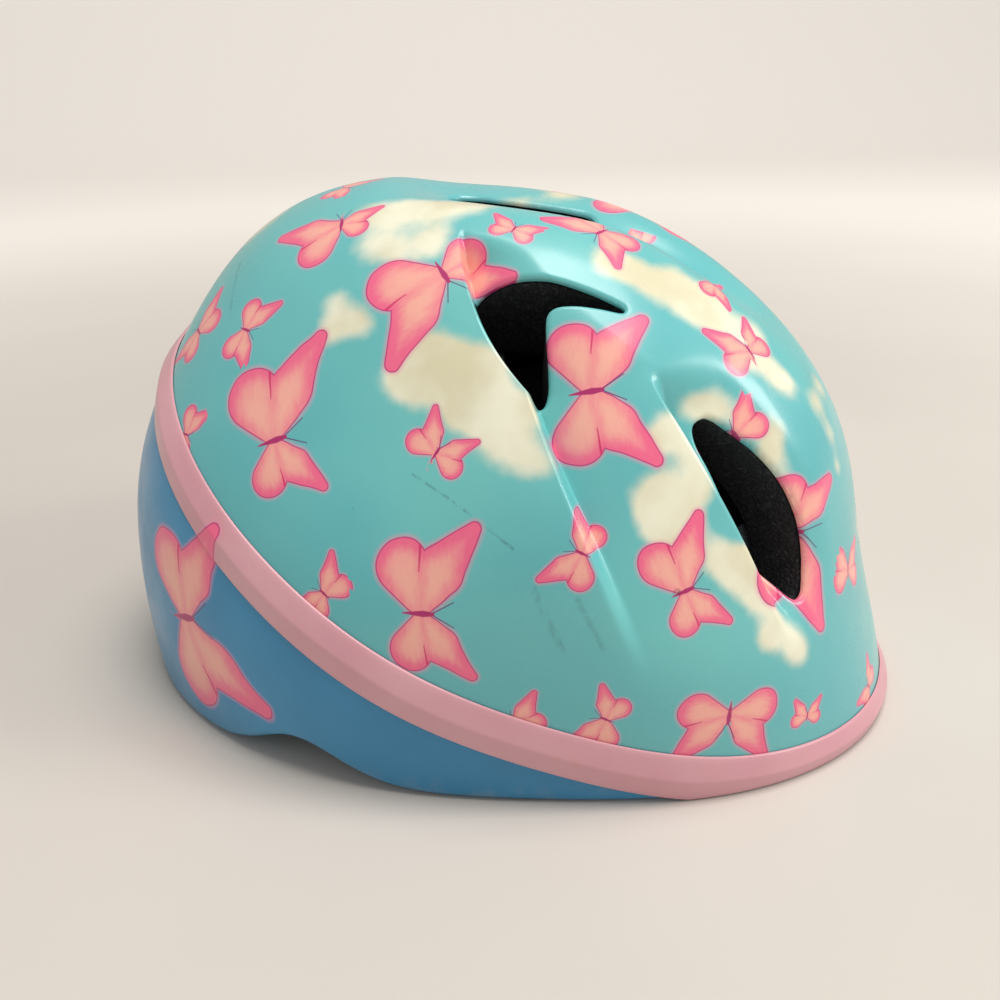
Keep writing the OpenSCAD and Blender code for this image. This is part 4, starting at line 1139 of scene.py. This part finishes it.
chin_start = SLIDER_X - SLIDER_W / 2 + SLOT_D - 0.6
tail_z = BUCKLE_Z + 1.4
RUNS = {
    "front_strap_left": strap_path(62, -1, 1), "front_strap_right": strap_path(62, -1, -1),
    "rear_strap_left": strap_path(124, 1, 1), "rear_strap_right": strap_path(124, 1, -1),
    "chin_strap_left": chin_path(chin_start, SOCKET_OUT - 3, 0),
    "chin_strap_right": chin_path(-chin_start, TONGUE_OUT + 3, -1.4),
    "strap_tail": [((TONGUE_OUT + x, BUCKLE_Y, tail_z + z), (0, 1, 0))
                   for x, z in ((3, 0), (-3, 0), (-9, -0.3), (-18, 0), (-32, 1))]}
for node, rows in RUNS.items():
    made = tape_object(node + "_web", rows, WEB_W, WEB_T)
    made.data.materials.append(webbing)
    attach(made, "root")
    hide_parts(node)

# ---- Fit belts -------------------------------------------------------------------------------------
# Two nylon belts run from the racks behind the nape to push pins at the temples. On the helmet they
# bend as the dial draws the racks in; here each is built in one fixed curve.

BELT_H, BELT_T, DIAL_Z = 6.0, 1.5, 22.0
RACK_Y, PITCH_R = 60.1, 4.5
rack_offset, rack_end, rack_mid = PITCH_R + 1 + 1.5, 23.0, RACK_Y + 1.5


def belt_path(s, side):
    z = DIAL_Z + s * rack_offset
    up = (0, 0, 1)
    rows = [((rack_end, rack_mid, z), up), ((rack_end + 6, rack_mid, z), up)]
    for i in range(7):
        p = cavity_wall(mix(138.0, 88.0, i / 6), 0.0, 9.0)
        rows.append(((p[0], p[1], mix(z, DIAL_Z + 6, min(1, i / 3))), up))
    flip = np.array([side, 1, 1])
    return [(np.array(a) * flip, b) for a, b in rows]


nylon, tree, main = new_material("black_nylon", 0.45)
on_helmet = tree.nodes.new("ShaderNodeTexCoord").outputs["Object"]
tone = blend_colour(tree, between(tree, grain(tree, on_helmet, 90, 4), 0.3, 0.7),
                    shade(24, 24, 26), shade(36, 36, 39))
tree.links.new(tone, main.inputs["Base Color"])
bump(tree, main, grain(tree, on_helmet, 1800, 2), 0.25, 0.00015)
for name, s, side in (("left", 1, 1), ("right", -1, -1)):
    made = tape_object(f"belt_{name}_strip", belt_path(s, side), BELT_H, BELT_T, 0.0)
    made.data.materials.append(nylon)
    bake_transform(made)
    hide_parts(f"belt_{name}")

# ---- Moulded parts ---------------------------------------------------------------------------------
# Anchors, sliders, buckle, dial and housing are injection-moulded with a fine spark texture and
# slightly broken edges. They keep their measured shapes.

moulded_grain, given, result = new_group(
    "moulded_grain", [("Place", POINT, (0, 0, 0)), ("Scale", FLOAT, 1200.0)],
    [("Height", FLOAT), ("Patches", FLOAT)])
fine = moulded_grain.nodes.new("ShaderNodeTexNoise")
moulded_grain.links.new(given.outputs["Place"], fine.inputs["Vector"])
moulded_grain.links.new(given.outputs["Scale"], fine.inputs["Scale"])
broad = grain(moulded_grain, given.outputs["Place"], 70, 4)
moulded_grain.links.new(fine.outputs[0], result.inputs["Height"])
moulded_grain.links.new(broad, result.inputs["Patches"])


def moulded(name, dark, pale, roughness, scale=1200.0, depth=0.0002, metallic=0.0):
    made, tree, main = new_material(name, roughness, metallic=metallic)
    where = tree.nodes.new("ShaderNodeTexCoord").outputs["Object"]
    made_of = use_group(tree, moulded_grain, Place=where, Scale=scale)
    tone = blend_colour(tree, between(tree, made_of["Patches"], 0.3, 0.7), dark, pale)
    tree.links.new(tone, main.inputs["Base Color"])
    link(tree, between(tree, made_of["Patches"], 0.3, 0.75, roughness - 0.06, roughness + 0.08),
         main.inputs["Roughness"])
    bump(tree, main, made_of["Height"], 0.3, depth)
    return made


black_plastic = moulded("black_plastic", shade(22, 22, 24), shade(34, 34, 37), 0.42)
dial_plastic = moulded("dial_plastic", shade(30, 30, 33), shade(44, 44, 48), 0.48)
gear_plastic = moulded("acetal", shade(214, 213, 206), shade(228, 227, 221), 0.38)
soft_rubber = moulded("keeper_rubber", shade(20, 20, 20), shade(30, 30, 30), 0.68, 900.0)
screw_steel = moulded("screw_steel", shade(170, 172, 176), shade(190, 192, 196), 0.28, 600.0,
                      0.00005, 1.0)
hook_tape = moulded("hook_tape", shade(14, 14, 15), shade(26, 26, 28), 0.85, 1500.0, 0.0006)
FINISHES = {
    "hook_dots": (hook_tape, 0.0), "strap_anchors": (black_plastic, 0.35),
    "slider_left": (black_plastic, 0.5), "slider_right": (black_plastic, 0.5),
    "strap_keeper": (soft_rubber, 0.4), "buckle_socket": (black_plastic, 0.6),
    "buckle_tongue": (black_plastic, 0.5), "buckle_prong_front": (black_plastic, 0.3),
    "buckle_prong_rear": (black_plastic, 0.3), "dial_housing": (black_plastic, 0.5),
    "housing_cover": (black_plastic, 0.3), "cover_screws": (screw_steel, 0.15),
    "fit_dial": (dial_plastic, 0.35), "fit_pinion": (gear_plastic, 0.1),
    "rack_left": (gear_plastic, 0.12), "rack_right": (gear_plastic, 0.12),
    "belt_pins": (black_plastic, 0.3)}
for node, (finish, edge) in FINISHES.items():
    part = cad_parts[node]
    part.data.materials.clear()
    part.data.materials.append(finish)
    weld = part.modifiers.new("weld", "WELD")
    weld.merge_threshold = 1e-5
    if edge:
        rounding = part.modifiers.new("edges", "BEVEL")
        rounding.width, rounding.segments = edge * MM, 2
        rounding.limit_method, rounding.angle_limit = "ANGLE", math.radians(35)
        rounding.harden_normals = True

# ---- Studio ----------------------------------------------------------------------------------------
# A plain pale table top that runs up into a backdrop, one wide soft lamp over the crown and a weaker
# one from the brow side. The paper pales away from the helmet.

sweep_points, sweep_faces = [], []
profile = [(-3.0, 0.0)] + [(1.6 + 0.9 * math.sin(t), 0.9 - 0.9 * math.cos(t))
                           for t in np.radians(np.arange(0, 91, 6))] + [(2.5, 4.0)]
facing = Vector((0.927, 0.375, 0.0))
sideways = Vector((-0.375, 0.927, 0.0))
for reach, z in profile:
    for s in (-4.0, 4.0):
        sweep_points.append(facing * reach + sideways * s + Vector((0, 0, z)))
for i in range(len(profile) - 1):
    sweep_faces.append([2 * i, 2 * i + 1, 2 * i + 3, 2 * i + 2])
sweep = mesh_object("studio_sweep", [np.array(p) / MM for p in sweep_points], sweep_faces)
paper, tree, main = new_material("studio_paper", 0.9)
where = tree.nodes.new("ShaderNodeTexCoord").outputs["Object"]
tone = blend_colour(tree, between(tree, grain(tree, where, 6, 3), 0.3, 0.7),
                    shade(205, 198, 190), shade(209, 202, 194))
raised = between(tree, vector(tree, "LENGTH", where, out=1), 0.2, 1.2)
tone = blend_colour(tree, raised, tone, shade(244, 238, 230))
seen = calc(tree, "MULTIPLY", raised, tree.nodes.new("ShaderNodeLightPath").outputs["Is Camera Ray"])
tree.links.new(tone, main.inputs["Base Color"])
tree.links.new(blend_colour(tree, seen, shade(0, 0, 0), tone), main.inputs["Emission Color"])
main.inputs["Emission Strength"].default_value = 0.32
sweep.data.materials.append(paper)
sweep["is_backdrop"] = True


def area_lamp(name, at, toward, size, power, colour):
    lamp = bpy.data.lights.new(name, "AREA")
    lamp.shape, lamp.size, lamp.energy, lamp.color = "DISK", size, power, colour
    made = bpy.data.objects.new(name, lamp)
    made.location = at
    made.rotation_mode = "QUATERNION"
    made.rotation_quaternion = (Vector(toward) - Vector(at)).to_track_quat("-Z", "Y")
    bpy.context.scene.collection.objects.link(made)


area_lamp("over_crown", (-0.05, -0.20, 1.25), (0, 0, 0.08), 0.8, 11.0, (1.0, 0.985, 0.96))
area_lamp("brow_side", (0.20, -1.25, 0.75), (0, 0, 0.08), 0.6, 7.0, (1.0, 0.98, 0.95))
world = bpy.data.worlds.new("studio")
bpy.context.scene.world = world
world.use_nodes = True
world.node_tree.nodes["Background"].inputs[0].default_value = (1.0, 0.985, 0.965, 1)
world.node_tree.nodes["Background"].inputs[1].default_value = 0.46

low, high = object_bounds()
